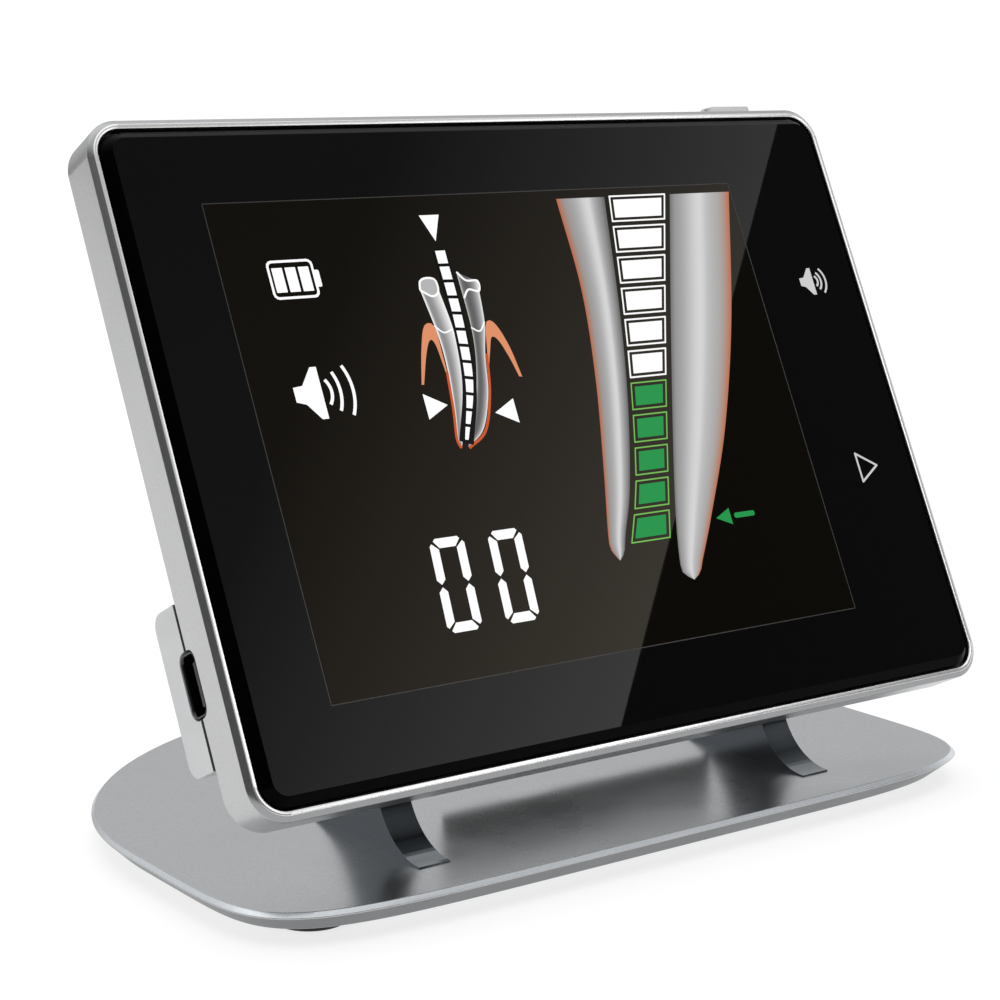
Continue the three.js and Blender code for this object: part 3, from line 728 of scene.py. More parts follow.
def cover_glass():
    """Glass with a flat ground bevel, printed black underneath; the bevel takes a copy of the glass with a
    low IOR, painted shade that makes it mirror less than the face.
    """
    edge = RIM_WALL + GAP
    slope = GLASS_BEVEL_DEPTH / GLASS_BEVEL
    profile = [
        (edge + GLASS_BEVEL, 0), (edge + 0.06, GLASS_BEVEL_DEPTH - 0.06 * slope),
        (edge, GLASS_BEVEL_DEPTH + 0.05), (edge, GLASS_HI.y - 0.1), (edge + 0.1, GLASS_HI.y),
    ]
    rings = [head_ring(*row) for row in profile]
    glass = loft("cover_glass_fine", rings, HEAD, [GLASS, GLASS_EDGE_SHADE])
    # The bevel bands take the painted shade.
    paint_bands(glass, len(rings[0]), [1] * (len(profile) - 1))
    glass.data.set_sharp_from_angle(angle=math.radians(30))
    add(even_normals(glass), "head", "black_glass", "cover_glass")


# ---------------------------------------------------------------- head: what the display shows
# Drawn in the display window's own millimetres: u to the right, v up from its lower left corner.

LAYER = 0.012


def slab(name, outlines, front, look):
    """Flat printed or lit areas, closed outlines of (x, z) points, standing just proud of the glass."""
    points, faces = [], []
    for outline in outlines:
        start, count = len(points), len(outline)
        points += lifted(outline, -front, 1) + lifted(outline, -front + LAYER, 1)
        faces += [tuple(range(start, start + count)), tuple(range(start + count, start + 2 * count))]
        for i in range(count):
            j = (i + 1) % count
            faces.append((start + i, start + j, start + count + j, start + count + i))
    piece = as_object(name, points, faces, HEAD, [look])
    piece.data.shade_flat()
    add(piece, "head", "black_glass")


def on_window(outline):
    return [(WINDOW_X + u, WINDOW_Z + v) for u, v in outline]


def window_slab(name, outlines, look, level=2):
    slab(name, [on_window(outline) for outline in outlines], LAYER * level + LAYER / 2, look)


def smooth_line(points, steps=8):
    """A smooth line through a few points (Catmull-Rom)."""
    ends = [2 * Vector(points[0]) - Vector(points[1])]
    ends += [Vector(point) for point in points]
    ends.append(2 * Vector(points[-1]) - Vector(points[-2]))
    line = []
    for before, start, end, after in zip(ends, ends[1:], ends[2:], ends[3:]):
        for step in range(steps):
            t = step / steps
            line.append(0.5 * (
                2 * start + (end - before) * t
                + (2 * before - 5 * start + 4 * end - after) * t ** 2
                + (3 * start - before - 3 * end + after) * t ** 3
            ))
    line.append(ends[-2])
    return [tuple(point) for point in line]


def resample(line, count):
    """The line as count points, evenly spaced along it."""
    lengths = [0]
    for start, end in zip(line, line[1:]):
        lengths.append(lengths[-1] + math.dist(start, end))
    points = []
    for index in range(count):
        target = lengths[-1] * index / (count - 1)
        after = next(i for i, length in enumerate(lengths) if length >= target - 1e-9)
        before = max(after - 1, 0)
        span = lengths[after] - lengths[before] or 1
        share = (target - lengths[before]) / span
        points.append(tuple(Vector(line[before]).lerp(Vector(line[after]), share)))
    return points


def across_at(line, v):
    """Where a line that only rises or falls crosses the height v."""
    for (u0, v0), (u1, v1) in zip(line, line[1:]):
        if min(v0, v1) <= v <= max(v0, v1) and v0 != v1:
            return u0 + (u1 - u0) * (v - v0) / (v1 - v0)
    return line[0][0] if abs(v - line[0][1]) < abs(v - line[-1][1]) else line[-1][0]


def band(name, edge_a, edge_b, look, level=2, rows=40, columns=10):
    """A lit band between two smooth edges, with u across it for its shading."""
    near = resample(smooth_line(edge_a), rows)
    far = resample(smooth_line(edge_b), rows)
    points, faces = [], []
    front = LAYER * level + LAYER / 2
    width = columns + 1
    for back in (0, LAYER):
        for start, end in zip(near, far):
            for column in range(width):
                u, v = Vector(start).lerp(Vector(end), column / columns)
                points.append((WINDOW_X + u, -front + back, WINDOW_Z + v))
    sheet = rows * width
    for side in (0, sheet):
        for row in range(rows - 1):
            for column in range(columns):
                corner = side + row * width + column
                faces.append((corner, corner + 1, corner + 1 + width, corner + width))
    rim = [*range(width - 1)]
    rim += [row * width + columns for row in range(rows - 1)]
    rim += [(rows - 1) * width + column for column in range(columns, 0, -1)]
    rim += [row * width for row in range(rows - 1, 0, -1)]
    for start, end in zip(rim, rim[1:] + rim[:1]):
        faces.append((start, end, end + sheet, start + sheet))
    piece = as_object(name, points, faces, HEAD, [look])
    piece.data.shade_flat()
    shading = piece.data.uv_layers.new(name="across")
    for loop in piece.data.loops:
        index = loop.vertex_index % sheet
        shading.data[loop.index].uv = (index % width / columns, index // width / (rows - 1))
    add(piece, "head", "black_glass")


def stroke(line, width):
    """Outline of a line drawn with a pen of this width."""
    left, right = [], []
    for index, point in enumerate(line):
        ahead = Vector(line[min(index + 1, len(line) - 1)])
        behind = Vector(line[max(index - 1, 0)])
        run = (ahead - behind).normalized()
        side = Vector((-run.y, run.x)) * width / 2
        left.append(tuple(Vector(point) + side))
        right.append(tuple(Vector(point) - side))
    return left + right[::-1]


def closed_stroke(outline, width):
    """The four or more sides of an outline, each drawn as a pen stroke that overlaps its neighbours."""
    strokes = []
    for start, end in zip(outline, outline[1:] + outline[:1]):
        run = (Vector(end) - Vector(start)).normalized() * width * 0.35
        strokes.append(stroke([tuple(Vector(start) - run), tuple(Vector(end) + run)], width))
    return strokes


def loudspeaker(place, size, wave_radii, wave_width):
    """Loudspeaker symbol: magnet, cone and sound waves. size is its width and height."""
    x, z = place
    width, height = size
    left = x - width / 2
    cone = [
        (0, -0.14), (0, 0.14), (0.16, 0.16), (0.36, 0.5), (0.47, 0.5),
        (0.47, -0.5), (0.36, -0.5), (0.16, -0.2),
    ]
    shapes = [[(left + u * width, z + v * height) for u, v in cone]]
    for reach, half_angle, offset in wave_radii:
        centre = (left + offset * width, z)
        shapes.append(stroke(arc(centre, reach * width, half_angle, -half_angle, 14), wave_width))
    return shapes


def battery_symbol():
    x0, x1, y0, y1 = 7.3, 14.1, 54.75, 59.95
    line = 0.36
    shapes = closed_stroke(rounded_rectangle(x0, x1, y0, y1, 0.7, 3), line)
    bar_count, bar_width = 3, 1.62
    pitch = (x1 - x0 - 2 * 0.55 - bar_width) / (bar_count - 1)
    for bar in range(bar_count):
        left = x0 + 0.5 + bar * pitch
        shapes.append(rounded_rectangle(left, left + bar_width, y0 + 0.8, y1 - 0.9, 0.05, 1))
    shapes.append(rounded_rectangle(x1, x1 + 0.85, y0 + 1.3, y1 - 1.45, 0.25, 3))
    return shapes


def digit(left, bottom):
    """A seven-segment zero with its six outer segments lit."""
    width, height, bar, lean = 5.6, 13.0, 1.35, 0.056
    corner, half_gap, waist = 1.0, 0.17, height / 2
    top_bar = [
        (corner / 2 + half_gap, height - corner / 2 + half_gap), (corner, height),
        (width - corner, height), (width - corner / 2 - half_gap, height - corner / 2 + half_gap),
        (width - bar - half_gap, height - bar), (bar + half_gap, height - bar),
    ]
    side_bar = [
        (0, height - corner), (corner / 2 - half_gap, height - corner / 2 - half_gap),
        (bar, height - bar - half_gap), (bar, waist + bar / 2 + half_gap),
        (bar / 2, waist + half_gap), (0, waist + bar / 2 + half_gap),
    ]
    segments = []
    for shape in (top_bar, side_bar, [(width - u, v) for u, v in side_bar]):
        segments += [shape, [(u, height - v) for u, v in shape]]
    return [[(left + u + v * lean, bottom + v) for u, v in shape] for shape in segments]


def tooth_diagram(white, dark):
    """A tooth in section with the measuring file in its canal and the gum on both sides."""
    half_left = lit_gradient("lit_tooth_left", [
        (0.0, grey(0.95)), (0.06, grey(0.85)), (0.14, grey(0.16)), (0.5, grey(0.34)),
        (0.85, grey(0.8)), (1.0, grey(0.98)),
    ])
    half_right = lit_gradient("lit_tooth_right", [
        (0.0, grey(0.7)), (0.1, grey(0.12)), (0.35, grey(0.09)), (0.6, grey(0.16)),
        (0.86, grey(0.42)), (1.0, grey(0.95)),
    ])
    gum = lit("lit_gum", (0.8, 0.3, 0.15))
    root = lit("lit_root", (0.62, 0.1, 0.025))
    left_outer = [(30.2, 54.7), (31.1, 48), (31.15, 43), (30.5, 37), (29.8, 33), (30.0, 31.7)]
    left_inner = [(33.1, 55.9), (33.9, 48), (33.3, 41.5), (31.6, 35.5), (30.1, 31.8)]
    right_inner = [(37.0, 56.9), (36.9, 48), (35.6, 41.5), (33.2, 35.2), (31.1, 31.7)]
    right_outer = [(40.1, 55.3), (39.4, 49.2), (38.0, 44.5), (36.7, 38.8), (34.3, 33.8), (31.1, 31.6)]
    band("display_tooth_left", left_outer, left_inner, half_left)
    band("display_tooth_right", right_inner, right_outer, half_right)
    left_cap = [
        (30.2, 54.6), (30.6, 55.9), (31.8, 56.3), (33.1, 55.9), (33.1, 54.2), (31.9, 53.6), (30.2, 54.6),
    ]
    right_cap = [(37.0, 56.9), (38.2, 55.6), (40.1, 55.4), (39.9, 53.9), (38.2, 54.2), (37.1, 53.0)]
    window_slab("display_tooth_mouths", [smooth_line(left_cap)[:-1]], lit("lit_grey", grey(0.5)), 3)
    lines = [
        stroke(smooth_line(left_cap), 0.3),
        stroke(smooth_line(right_cap), 0.3),
        stroke(smooth_line([(30.9, 49.3), (32.2, 48.2), (33.8, 48.6)]), 0.22),
        stroke(smooth_line([(36.9, 48.6), (38.2, 48.0), (39.4, 49.3)]), 0.22),
    ]
    window_slab("display_tooth_crown_lines", lines, white, 4)
    roots = [
        stroke(smooth_line([(30.95, 42.5), (30.3, 37), (29.6, 33), (29.9, 31.5)]), 0.42),
        stroke(smooth_line([(38.3, 44.6), (36.95, 38.8), (34.6, 33.6), (31.2, 31.4)]), 0.42),
    ]
    window_slab("display_root_lines", roots, root, 4)
    band(
        "display_gum_left",
        [(26.3, 41.0), (27.8, 46), (29.3, 49.4), (30.9, 49.2), (31.0, 45.0), (30.95, 41.5)],
        [(26.7, 41.0), (28.4, 45.3), (29.6, 47.3), (30.3, 46.6), (30.6, 44.0), (30.8, 41.5)],
        gum, rows=30, columns=2,
    )
    band(
        "display_gum_right",
        [(37.9, 42.6), (38.6, 45.4), (39.6, 49.1), (41.0, 49.0), (42.4, 45.6), (43.2, 40.8)],
        [(38.0, 42.5), (39.0, 45.0), (39.9, 47.0), (40.9, 46.4), (41.9, 43.9), (42.7, 40.9)],
        gum, rows=30, columns=2,
    )
    file_left = resample(smooth_line([(34.4, 60.2), (34.4, 50), (33.4, 40.4), (30.7, 32.2)]), 61)
    file_right = resample(smooth_line([(36.05, 60.2), (35.85, 49.4), (34.65, 40.4), (31.2, 32.1)]), 61)
    centre_line = [tuple((Vector(a) + Vector(b)) / 2) for a, b in zip(file_left, file_right)]
    window_slab("display_file_shadow", [stroke(centre_line, 2.3)], dark, 4)
    segments = []
    for start in range(0, 60, 5):
        end = start + 4
        segments.append(file_left[start:end + 1] + file_right[start:end + 1][::-1])
    window_slab("display_file_segments", segments, white, 6)


def canal_diagram(white, green, green_line):
    """The enlarged canal: two shaded walls and a column of level bars between them."""
    wall_left = lit_gradient("lit_canal_left", [
        (0.0, (0.55, 0.12, 0.04)), (0.06, (0.4, 0.2, 0.13)), (0.16, grey(0.3)), (0.42, grey(0.42)),
        (0.63, grey(0.8)), (0.74, grey(0.45)), (0.92, grey(0.2)), (1.0, grey(0.12)),
    ])
    wall_right = lit_gradient("lit_canal_right", [
        (0.0, grey(0.14)), (0.07, grey(0.3)), (0.26, grey(0.42)), (0.48, grey(0.78)), (0.6, grey(0.5)),
        (0.8, grey(0.4)), (0.91, (0.42, 0.29, 0.23)), (1.0, (0.52, 0.13, 0.04)),
    ])
    left_outer = [
        (57.9, 67.2), (57.8, 53.2), (55.8, 39.6), (52.7, 26.2), (50.1, 16), (50.2, 14.0), (51.0, 12.7),
    ]
    left_inner = [
        (66.8, 67.2), (63.6, 49.4), (60.3, 35.4), (56.3, 22.9), (53.3, 16.4), (52.2, 13.8), (51.1, 12.7),
    ]
    right_inner = [(79.4, 67.2), (71.6, 44.5), (64.2, 21.9), (61.4, 11.2), (61.8, 9.2), (63.0, 8.3)]
    right_outer = [
        (91.2, 67.2), (84.3, 47), (76.9, 30.2), (69.6, 17.4), (65.6, 11.0), (64.5, 9.2), (63.1, 8.3),
    ]
    band("display_canal_left", left_outer, left_inner, wall_left, rows=60, columns=16)
    band("display_canal_right", right_inner, right_outer, wall_right, rows=60, columns=16)

    bar_left = smooth_line([(67.8, 67.3), (65.0, 52.3), (61.8, 38), (57.7, 23.6), (53.9, 15)])
    bar_right = smooth_line([(78.4, 67.3), (73.2, 52.4), (68.3, 38), (63.6, 23.6), (60.9, 15)])

    def bar_corners(bottom, top, inset):
        corners = []
        for edge, direction, v in (
            (bar_left, 1, bottom), (bar_right, -1, bottom), (bar_right, -1, top), (bar_left, 1, top),
        ):
            corners.append((across_at(edge, v) + direction * inset, v))
        return corners

    highest, pitch, height, rise = 67.25, 4.84, 3.95, 0.55
    frames, fills = {"white": [], "green": []}, {"white": [], "green": []}
    for bar in range(11):
        top = highest - pitch * bar
        bottom = top - height
        colour, line = ("white", 0.25) if bar < 6 else ("green", 0.2)
        frames[colour] += closed_stroke(bar_corners(bottom, top, 0), line)
        fills[colour].append(bar_corners(bottom + rise, top - rise, 0.62))
    window_slab("display_bar_frames_white", frames["white"], white)
    window_slab("display_bars_white", fills["white"], white)
    window_slab("display_bar_frames_green", frames["green"], green_line)
    window_slab("display_bars_green", fills["green"], green)


def display():
    white = lit("lit_white", grey(1.0), 1.0)
    dark = lit("lit_dark", grey(0.004), 0.2)
    green = lit("lit_green", (0.017, 0.32, 0.073))
    green_line = lit("lit_green_line", (0.2, 0.56, 0.1))
    border = moulded_plastic("display_border", (0.03, 0.028, 0.026), 0.3)
    # The key icons are print on the glass, yet glow: painted light in place of the light that falls on them.
    key_print_painted_glow = lit("key_print_painted_glow", grey(0.66))

    window = rounded_rectangle(0, WINDOW_WIDTH, 0, WINDOW_HEIGHT, 0.15, 2)
    slab("display_window", [on_window(window)], LAYER, WINDOW)
    edge = closed_stroke(box_outline(0, WINDOW_WIDTH, 0, WINDOW_HEIGHT), 0.14)
    window_slab("display_window_edge", edge, border)

    window_slab("display_battery", battery_symbol(), white)
    window_slab("display_volume", loudspeaker(
        (10.9, 41.25), (9.0, 7.3), [(0.3, 40, 0.33), (0.67, 27, 0.11), (0.83, 28, 0.17)], 0.48,
    ), white)
    window_slab("display_pointers", [
        [(35.0, 61.65), (33.35, 65.6), (36.7, 65.6)],
        [(29.6, 37.8), (26.05, 36.0), (26.05, 39.7)],
        [(37.0, 36.0), (40.6, 34.2), (40.6, 37.8)],
    ], white)
    window_slab("display_digits", digit(20.0, 6.5) + digit(29.5, 6.45), white)
    window_slab("display_level_pointer", [
        [(70.2, 16.65), (73.0, 15.4), (73.0, 17.9)],
        rounded_rectangle(73.7, 77.6, 16.25, 17.05, 0.3, 3),
    ], green)
    tooth_diagram(white, dark)
    canal_diagram(white, green, green_line)

    slab("key_sound_print", loudspeaker(
        KEY_SOUND, (5.8, 4.4), [(0.16, 60, 0.47), (0.3, 52, 0.45), (0.46, 48, 0.46)], 0.36,
    ), LAYER, key_print_painted_glow)
    x, z = KEY_PLAY
    play = [(x + 1.8, z), (x - 1.9, z - 2.25), (x - 1.9, z + 2.25)]
    slab("key_play_print", closed_stroke(play, 0.34), LAYER, key_print_painted_glow)


# ---------------------------------------------------------------- head: back

def screw_sinks(nodes, surface, sink, shaft_end):
    """Cutters for sunk screws from behind: a wide sink for each head and a hole for each shaft."""
    head_radius, depth, shaft_radius = sink
    cutters = []
    for node in nodes:
        centre = middle(*box_in(HEAD, node), 0, 2)
        cutters.append(cylinder_cutter(centre, head_radius, surface - depth, surface + 1, 1))
        cutters.append(cylinder_cutter(centre, shaft_radius, shaft_end, surface, 1))
    return cutters


def back_cover():
    lo, hi = box_in(HEAD, "back_cover")
    edge = lo.x - RIM_LO.x
    profile = [(edge, lo.y), (edge, hi.y - 0.2), (edge + 0.06, hi.y - 0.06), (edge + 0.2, hi.y)]
    cover = loft("back_cover_fine", [head_ring(*row) for row in profile], HEAD, [SHELL])
    half, inset = COVER_OPENING_HALF_WIDTH, COVER_OPENING_INSET
    carve(cover, [
        box_cutter(-half, half, lo.y - 1, hi.y + 1, HUMP_LO.z + inset, HUMP_HI.z - inset),
        socket_cutter(RIM_LO.x, SHELL_HI.x + 0.4, GAP),
        *screw_sinks(COVER_SCREWS, hi.y, COVER_SINK, lo.y - 1),
    ])
    add(even_normals(cover), "head", "silver_shell", "back_cover")


def hump_outline(inset):
    """Side section of the hump, in the (y, z) plane: square towards the head, both rear corners rounded."""
    front = HUMP_LO.y if inset == 0 else HUMP_LO.y - 1
    back, bottom, top = HUMP_HI.y - inset, HUMP_LO.z + inset, HUMP_HI.z - inset
    radius = HUMP_CORNER - inset * 0.8
    outline = [(front, bottom)]
    outline += arc((back - radius, bottom + radius), radius, -90, 0, 12)
    outline += arc((back - radius, top - radius), radius, 0, 90, 12)
    outline.append((front, top))
    return outline


def paint_seam_shade(housing):
    """Painted shade for the seam: the hump's front face, across the seam from the rim, and its hollow take a
    dark grey in place of the silver paint.
    """
    to_mm = HEAD.inverted()
    depth = HUMP_WALL - 0.1
    for polygon in housing.data.polygons:
        centre = to_mm @ polygon.center
        on_front = centre.y < HUMP_LO.y + 0.02
        in_hollow = (
            HUMP_LO.x + depth < centre.x < HUMP_HI.x - depth and centre.y < HUMP_HI.y - depth
            and HUMP_LO.z + depth < centre.z < HUMP_HI.z - depth
        )
        if on_front or in_hollow:
            polygon.material_index = 1


def rear_housing():
    """The hump: thin shell with arm slots, battery pocket, sunk screws and a sound grille."""
    looks = [SHELL, SEAM_SHADE]
    housing = prism("rear_housing_fine", hump_outline(0), HUMP_LO.x, HUMP_HI.x, 0, HEAD, looks)
    back = HUMP_HI.y
    hollow = (HUMP_LO.x + HUMP_WALL, HUMP_HI.x - HUMP_WALL)
    cutters = [cutter(hump_outline(HUMP_WALL), *hollow, 0)]
    slot_top = (PIN_LO.z + PIN_HI.z) / 2 + SLOT_ABOVE_PIN
    for node in ("hinge_block_left", "hinge_block_right"):
        x, _ = middle(*box_in(HEAD, node), 0, 2)
        cutters.append(box_cutter(
            x - SLOT_HALF_WIDTH, x + SLOT_HALF_WIDTH, HUMP_LO.y - 1, back + 1, HUMP_LO.z - 1, slot_top,
        ))
    x0, x1, z0, z1 = DOOR_LO.x - GAP, DOOR_HI.x + GAP, DOOR_LO.z - GAP, DOOR_HI.z + GAP
    pocket = rounded_rectangle(x0, x1, z0, z1, 1.0, 6)
    cutters.append(cutter(pocket, DOOR_LO.y - 0.2, back + 1, 1))
    ends, sides = POCKET_LEDGE
    opening = rounded_rectangle(x0 + ends, x1 - ends, z0 + sides, z1 - sides, 1.0, 6)
    cutters.append(cutter(opening, back - 3, back + 1, 1))
    cutters += screw_sinks(HINGE_SCREWS, back, HINGE_SINK, back - 3)
    x, buzzer_z = middle(*box_in(HEAD, "buzzer"), 0, 2)
    for slit in range(-2, 3):
        z = buzzer_z + slit * GRILLE_PITCH
        slit_outline = rounded_rectangle(
            x - GRILLE_HALF_LENGTH, x + GRILLE_HALF_LENGTH, z - GRILLE_SLIT / 2, z + GRILLE_SLIT / 2, 0.44, 6,
        )
        cutters.append(cutter(slit_outline, back - 3, back + 1, 1))
    cutters.append(socket_cutter(RIM_LO.x - 1, HUMP_LO.x + HUMP_WALL + 0.5))
    carve(housing, cutters)
    # The front face and hollow get the painted seam shade.
    paint_seam_shade(housing)
    add(soften(housing, 0.16), "head", "silver_shell", "rear_housing")


def battery_door():
    """Door with three shallow grip grooves."""
    outline = rounded_rectangle(DOOR_LO.x, DOOR_HI.x, DOOR_LO.z, DOOR_HI.z, 0.8, 6)
    door = prism("battery_door_fine", outline, DOOR_LO.y, DOOR_HI.y, 1, HEAD, [SHELL])
    cutters = []
    half = GROOVE_WIDTH / 2
    for groove in range(3):
        z = DOOR_LO.z + GROOVE_START + groove * GROOVE_PITCH
        outline = rounded_rectangle(-GROOVE_HALF_LENGTH, GROOVE_HALF_LENGTH, z - half, z + half, 0.28, 4)
        cutters.append(cutter(outline, DOOR_HI.y - GROOVE_DEPTH, DOOR_HI.y + 1, 1))
    for node in DOOR_SCREWS:
        centre = middle(*box_in(HEAD, node), 0, 2)
        cutters.append(cylinder_cutter(centre, DOOR_SCREW_HOLE, DOOR_LO.y - 1, DOOR_HI.y + 1, 1))
    carve(door, cutters)
    add(soften(door, 0.12), "head", "silver_shell", "battery_door")


def rear_screws():
    """Pan-head screws with a cross recess, heads to the back."""
    for node in COVER_SCREWS + HINGE_SCREWS + DOOR_SCREWS:
        lo, hi = box_in(HEAD, node)
        radius, length = (hi.x - lo.x) / 2, hi.y - lo.y
        shaft, head = radius * 0.48, 0.3 * radius
        profile = [
            (0, 0), (shaft - 0.15, 0), (shaft, 0.2), (shaft, length - head), (radius, length - head),
            (radius, length - head * 0.5), (radius * 0.86, length - head * 0.12),
            (radius * 0.6, length), (0, length),
        ]
        x, z = middle(lo, hi, 0, 2)
        place = HEAD @ Matrix.Translation((x, lo.y, z))
        screw = turned(f"{node}_fine", profile, place, [STEEL], 32, axis=1)
        carve(screw, cross_recess(radius * 0.62, length - head * 0.9, length + 0.5, 1, place))
        add(even_normals(screw), "head", "steel", node)


def power_button():
    """Silver pill-shaped cap on a wider flange inside the rim."""
    x0, x1 = BUTTON_LO.x + BUTTON_FLANGE, BUTTON_HI.x - BUTTON_FLANGE
    y0, y1 = BUTTON_LO.y + BUTTON_LIP, BUTTON_HI.y - BUTTON_LIP
    flange_top, top = BUTTON_LO.z + BUTTON_FLANGE_THICKNESS, BUTTON_HI.z
    flange = rounded_rectangle(BUTTON_LO.x, BUTTON_HI.x, BUTTON_LO.y, BUTTON_HI.y, 0.5, 10)
    rings = [lifted(flange, BUTTON_LO.z, 2), lifted(flange, flange_top, 2)]
    half = (y1 - y0) / 2
    for inset, z in (
        (0, flange_top - 0.1), (0, top - 0.35), (0.05, top - 0.17), (0.17, top - 0.05), (0.35, top),
    ):
        outline = rounded_rectangle(x0 + inset, x1 - inset, y0 + inset, y1 - inset, half - inset - 0.01, 10)
        rings.append(lifted(outline, z, 2))
    cap = loft("power_button_fine", rings, HEAD, [BUTTON_METAL])
    add(even_normals(cap), "button", "silver_shell", "power_button")


def lead_socket():
    """Blackened shell with a rounded mouth, and a black insert with its tongue."""
    mouth, depth = SHELL_LO.x, SHELL_HI.x
    rings = []
    for x, inset in (
        (depth, 0), (mouth + 0.3, 0), (mouth + 0.1, 0.05), (mouth, 0.17),
        (mouth + 0.14, SOCKET_WALL - 0.02), (mouth + 0.5, SOCKET_WALL), (depth - 0.8, SOCKET_WALL),
    ):
        rings.append(lifted(socket_outline(-inset), x, 0))
    shell = loft("socket_shell_fine", rings, HEAD, [SOCKET_BLACK])
    add(even_normals(shell), "head", "steel", "socket_shell")
    lo, hi = box_in(HEAD, "socket_tongue")
    outline = rounded_rectangle(lo.y, hi.y, lo.z, hi.z, 0.3, 4)
    tongue = prism("socket_tongue_fine", outline, lo.x, hi.x, 0, HEAD, [BLACK_PLASTIC])
    add(soften(tongue, 0.1), "head", "black_plastic", "socket_tongue")


# ---------------------------------------------------------------- inner pieces keep their CAD shape

INNER_LOOKS = (
    (WINDOW, ["lcd_panel"]),
    (STEEL, ["backlight_unit", "hinge_pin_left", "hinge_pin_right"]),
    (BOARD, ["main_board", "touch_board", "socket_board"]),
    (BRASS, ["touch_spring_sound", "touch_spring_play", *numbered("friction_washer", 4)]),
    (BLACK_PLASTIC, ["tact_switch", "buzzer"]),
    (FOIL, ["battery"]),
    (ARM_METAL, ["hinge_block_left", "hinge_block_right"]),
)


def inner_pieces():
    for look, nodes in INNER_LOOKS:
        for node in nodes:
            piece = frame["nodes"][node]
            piece.data.materials.clear()
            piece.data.materials.append(look)
            soften(piece, 0.08, 2)


# ---------------------------------------------------------------- camera, floor and light

CAMERA_PLACE = Vector((-0.19645, -0.27834, 0.10606))
CAMERA_YAW, CAMERA_PITCH, CAMERA_ROLL = (math.radians(angle) for angle in (35.615, 11.476, 0.349))
CAMERA_LENS = 82.77
CAMERA_SHIFT = 0.05

FLOOR_REACH = 4000
FLOOR_COLOUR = 0.3
FLOOR_GLOW = 0.75
SUN_DIRECTION = (-0.05, -0.12, -1)
SUN_SOFTNESS = 75                # degrees across
SUN_STRENGTH = 0.6
SEEN_WHITE = 1.05                # the background as the camera sees it

# The room as lit surfaces see it. Each rise is a direction's start and end along an axis, and its amount.
ROOM_DARKEST = 0.22
ROOM_BEHIND = (-0.2, 0.4, 0.85)
ROOM_BEHIND_HEIGHT = (-0.1, 0.35, 1.0)
ROOM_ABOVE = (0.55, 0.95, 1.1)
ROOM_RIGHT = (0.72, 0.95, 0.8)

# The reflected card, in millimetres on the plane of the glass: its slanting edge crosses the head's
# top at x 57.4 and its bottom at x -9.2. Each fall is a distance's start and end, then dark and bright.
CARD_REACH = 0.45                # metres from the glass, as the camera sees it reflected
CARD_LEFT = -72.0
CARD_BOTTOM = -10.0
CARD_TOP = 104.0
CARD_EDGE_BOTTOM = (-16.2, CARD_BOTTOM)
CARD_EDGE_TOP = (64.0, CARD_TOP)
CARD_FALL_ACROSS = (0, 60, 0.65, 3.0)
CARD_FALL_UP = (0, 85, 0.57, 1.0)

# The dark flag between the arms, in millimetres, that the top of the base mirrors.
FLAG_ACROSS = (-19.0, 31.5)
FLAG_Y = -16.0
FLAG_HEIGHTS = (6.2, 16.0)
FLAG_GLOW = 0.05


def camera():
    forward = Vector((
        math.sin(CAMERA_YAW) * math.cos(CAMERA_PITCH),
        math.cos(CAMERA_YAW) * math.cos(CAMERA_PITCH),
        -math.sin(CAMERA_PITCH),
    ))
    right = Vector((math.cos(CAMERA_YAW), -math.sin(CAMERA_YAW), 0))
    down = forward.cross(right)
    rolled_right = math.cos(CAMERA_ROLL) * right + math.sin(CAMERA_ROLL) * down
    rolled_down = math.cos(CAMERA_ROLL) * down - math.sin(CAMERA_ROLL) * right
    data = bpy.data.cameras.new("camera")
    data.lens = CAMERA_LENS
    data.shift_y = CAMERA_SHIFT
    data.clip_start = 0.01
    eye = in_scene("camera", data)
    eye.matrix_world = Matrix.Translation(CAMERA_PLACE) @ Matrix(
        (rolled_right, -rolled_down, -forward)
    ).transposed().to_4x4()
    bpy.context.scene.camera = eye


def glowing_matte(name, level, roughness, glow, scale, drift):
    """A surface without gloss that glows evenly, whatever light falls on it."""
    look = Look(name, grey(level), 0.0, roughness)
    look.vary_colour(look.noise(scale, 2), drift)
    look.set("Specular IOR Level", 0)
    look.set("Emission Color", (1, 1, 1, 1))
    look.set("Emission Strength", glow)
    return look.material


def floor():
    """A pale, seamless studio floor, lit from within so that shadows on it stay faint."""
    look = glowing_matte("studio_floor", FLOOR_COLOUR, 0.9, FLOOR_GLOW, 8, 0.005)
    outline = box_outline(-FLOOR_REACH, FLOOR_REACH, -FLOOR_REACH, FLOOR_REACH)
    sheet = prism("floor", outline, -6, 0, 2, STAND, [look])
    sheet.data.shade_flat()


def show_only_in_reflections(card):
    for ray in ("camera", "diffuse", "shadow", "transmission"):
        setattr(card, f"visible_{ray}", False)


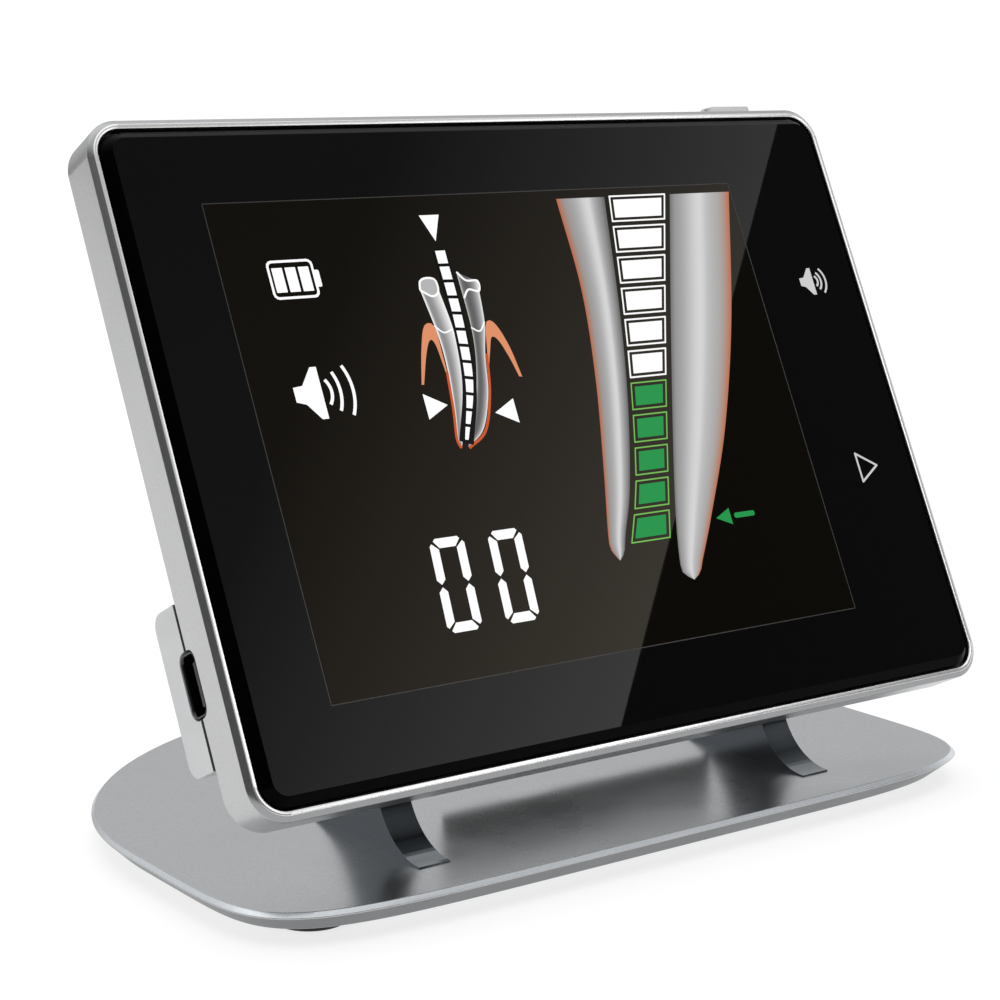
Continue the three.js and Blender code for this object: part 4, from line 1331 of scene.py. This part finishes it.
def reflected_card():
    """A graded card seen only in reflections, which gives the glass its slanting sheen."""
    glass_normal = -(HEAD.to_3x3() @ Vector((0, 1, 0))).normalized()
    height = (CAMERA_PLACE - HEAD.translation).dot(glass_normal)
    mirrored = CAMERA_PLACE - 2 * height * glass_normal
    spread = (CARD_REACH + height) / height
    corners = [(CARD_LEFT, CARD_BOTTOM), CARD_EDGE_BOTTOM, CARD_EDGE_TOP, (CARD_LEFT, CARD_TOP)]
    points = []
    for x, z in corners:
        target = HEAD @ Vector((x, 0, z))
        points.append(mirrored + (target - mirrored) * spread)
    mesh = bpy.data.meshes.new("reflected_card")
    mesh.from_pydata(points, [], [(0, 1, 2, 3)])

    # u is the distance from the slanting edge, v the height, both in millimetres on the glass.
    run = (Vector(CARD_EDGE_TOP) - Vector(CARD_EDGE_BOTTOM)).normalized()
    grade = mesh.uv_layers.new(name="grade")
    for loop in mesh.loops:
        corner = Vector(corners[loop.vertex_index]) - Vector(CARD_EDGE_BOTTOM)
        grade.data[loop.index].uv = (run.x * corner.y - run.y * corner.x, corners[loop.vertex_index][1])

    material = bpy.data.materials.new("reflected_card")
    material.use_nodes = True
    tree = material.node_tree
    tree.nodes.clear()
    coordinates = new_node(tree, "ShaderNodeTexCoord")
    split = new_node(tree, "ShaderNodeSeparateXYZ", feeds={"Vector": coordinates.outputs["UV"]})
    falls = []
    for axis, (start, end, low, high) in (("X", CARD_FALL_ACROSS), ("Y", CARD_FALL_UP)):
        limits = {"From Min": start, "From Max": end, "To Min": high, "To Max": low}
        fall = new_node(tree, "ShaderNodeMapRange", limits, {"Value": split.outputs[axis]})
        falls.append(fall.outputs["Result"])
    product = new_node(tree, "ShaderNodeMath", feeds=dict(enumerate(falls)), operation="MULTIPLY")
    glow = new_node(tree, "ShaderNodeEmission", feeds={"Strength": product.outputs[0]})
    new_node(tree, "ShaderNodeOutputMaterial", feeds={"Surface": glow.outputs["Emission"]})
    mesh.materials.append(material)
    show_only_in_reflections(in_scene("reflected_card", mesh))


def dark_flag():
    """A dark card low between the arms, which keeps the plate dark under the head."""
    look = glowing_matte("dark_flag", 0, 1.0, FLAG_GLOW, 50, 0.1)
    points = lifted(box_outline(*FLAG_ACROSS, *FLAG_HEIGHTS), FLAG_Y, 1)
    show_only_in_reflections(as_object("dark_flag", points, [(0, 1, 2, 3)], STAND, [look]))


def overhead_light():
    """A sun of very wide angle from above, so that the floor is lit alike everywhere."""
    data = bpy.data.lights.new("overhead", "SUN")
    data.angle = math.radians(SUN_SOFTNESS)
    data.energy = SUN_STRENGTH
    lamp = in_scene("overhead", data)
    lamp.rotation_mode = "QUATERNION"
    lamp.rotation_quaternion = Vector(SUN_DIRECTION).to_track_quat("-Z", "Y")
    lamp.visible_glossy = False


def studio_world():
    """White behind everything the camera sees; for light and reflections, a room with a dark front."""
    world = bpy.data.worlds.new("studio")
    bpy.context.scene.world = world
    world.use_nodes = True
    tree = world.node_tree
    tree.nodes.clear()
    coordinates = new_node(tree, "ShaderNodeTexCoord")
    split = new_node(tree, "ShaderNodeSeparateXYZ", feeds={"Vector": coordinates.outputs["Generated"]})

    def rise(axis, start, end, amount):
        limits = {"From Min": start, "From Max": end, "To Max": amount}
        feeds = {"Value": split.outputs[axis]}
        step = new_node(tree, "ShaderNodeMapRange", limits, feeds, interpolation_type="SMOOTHSTEP")
        return step.outputs["Result"]

    def combine(operation, first, second):
        return new_node(tree, "ShaderNodeMath", feeds={0: first, 1: second}, operation=operation).outputs[0]

    behind = combine("MULTIPLY", rise("Y", *ROOM_BEHIND), rise("Z", *ROOM_BEHIND_HEIGHT))
    room = combine("ADD", behind, rise("Z", *ROOM_ABOVE))
    room = combine("ADD", room, rise("X", *ROOM_RIGHT))
    level = new_node(tree, "ShaderNodeMath", {1: ROOM_DARKEST}, {0: room})
    reflected = new_node(tree, "ShaderNodeBackground", feeds={"Strength": level.outputs[0]})
    seen = new_node(tree, "ShaderNodeBackground", {"Color": (1, 1, 1, 1), "Strength": SEEN_WHITE})
    path = new_node(tree, "ShaderNodeLightPath")
    choose = new_node(tree, "ShaderNodeMixShader", feeds={
        "Fac": path.outputs["Is Camera Ray"], 1: reflected.outputs["Background"],
        2: seen.outputs["Background"],
    })
    new_node(tree, "ShaderNodeOutputWorld", feeds={"Surface": choose.outputs["Shader"]})


def studio():
    scene = bpy.context.scene
    scene.view_settings.view_transform = "Standard"
    scene.view_settings.look = "None"
    studio_world()
    floor()
    reflected_card()
    dark_flag()
    overhead_light()


camera()
base_plate()
arms()
arm_screws()
feet()
front_frame()
cover_glass()
display()
back_cover()
rear_housing()
battery_door()
rear_screws()
power_button()
lead_socket()
inner_pieces()
studio()
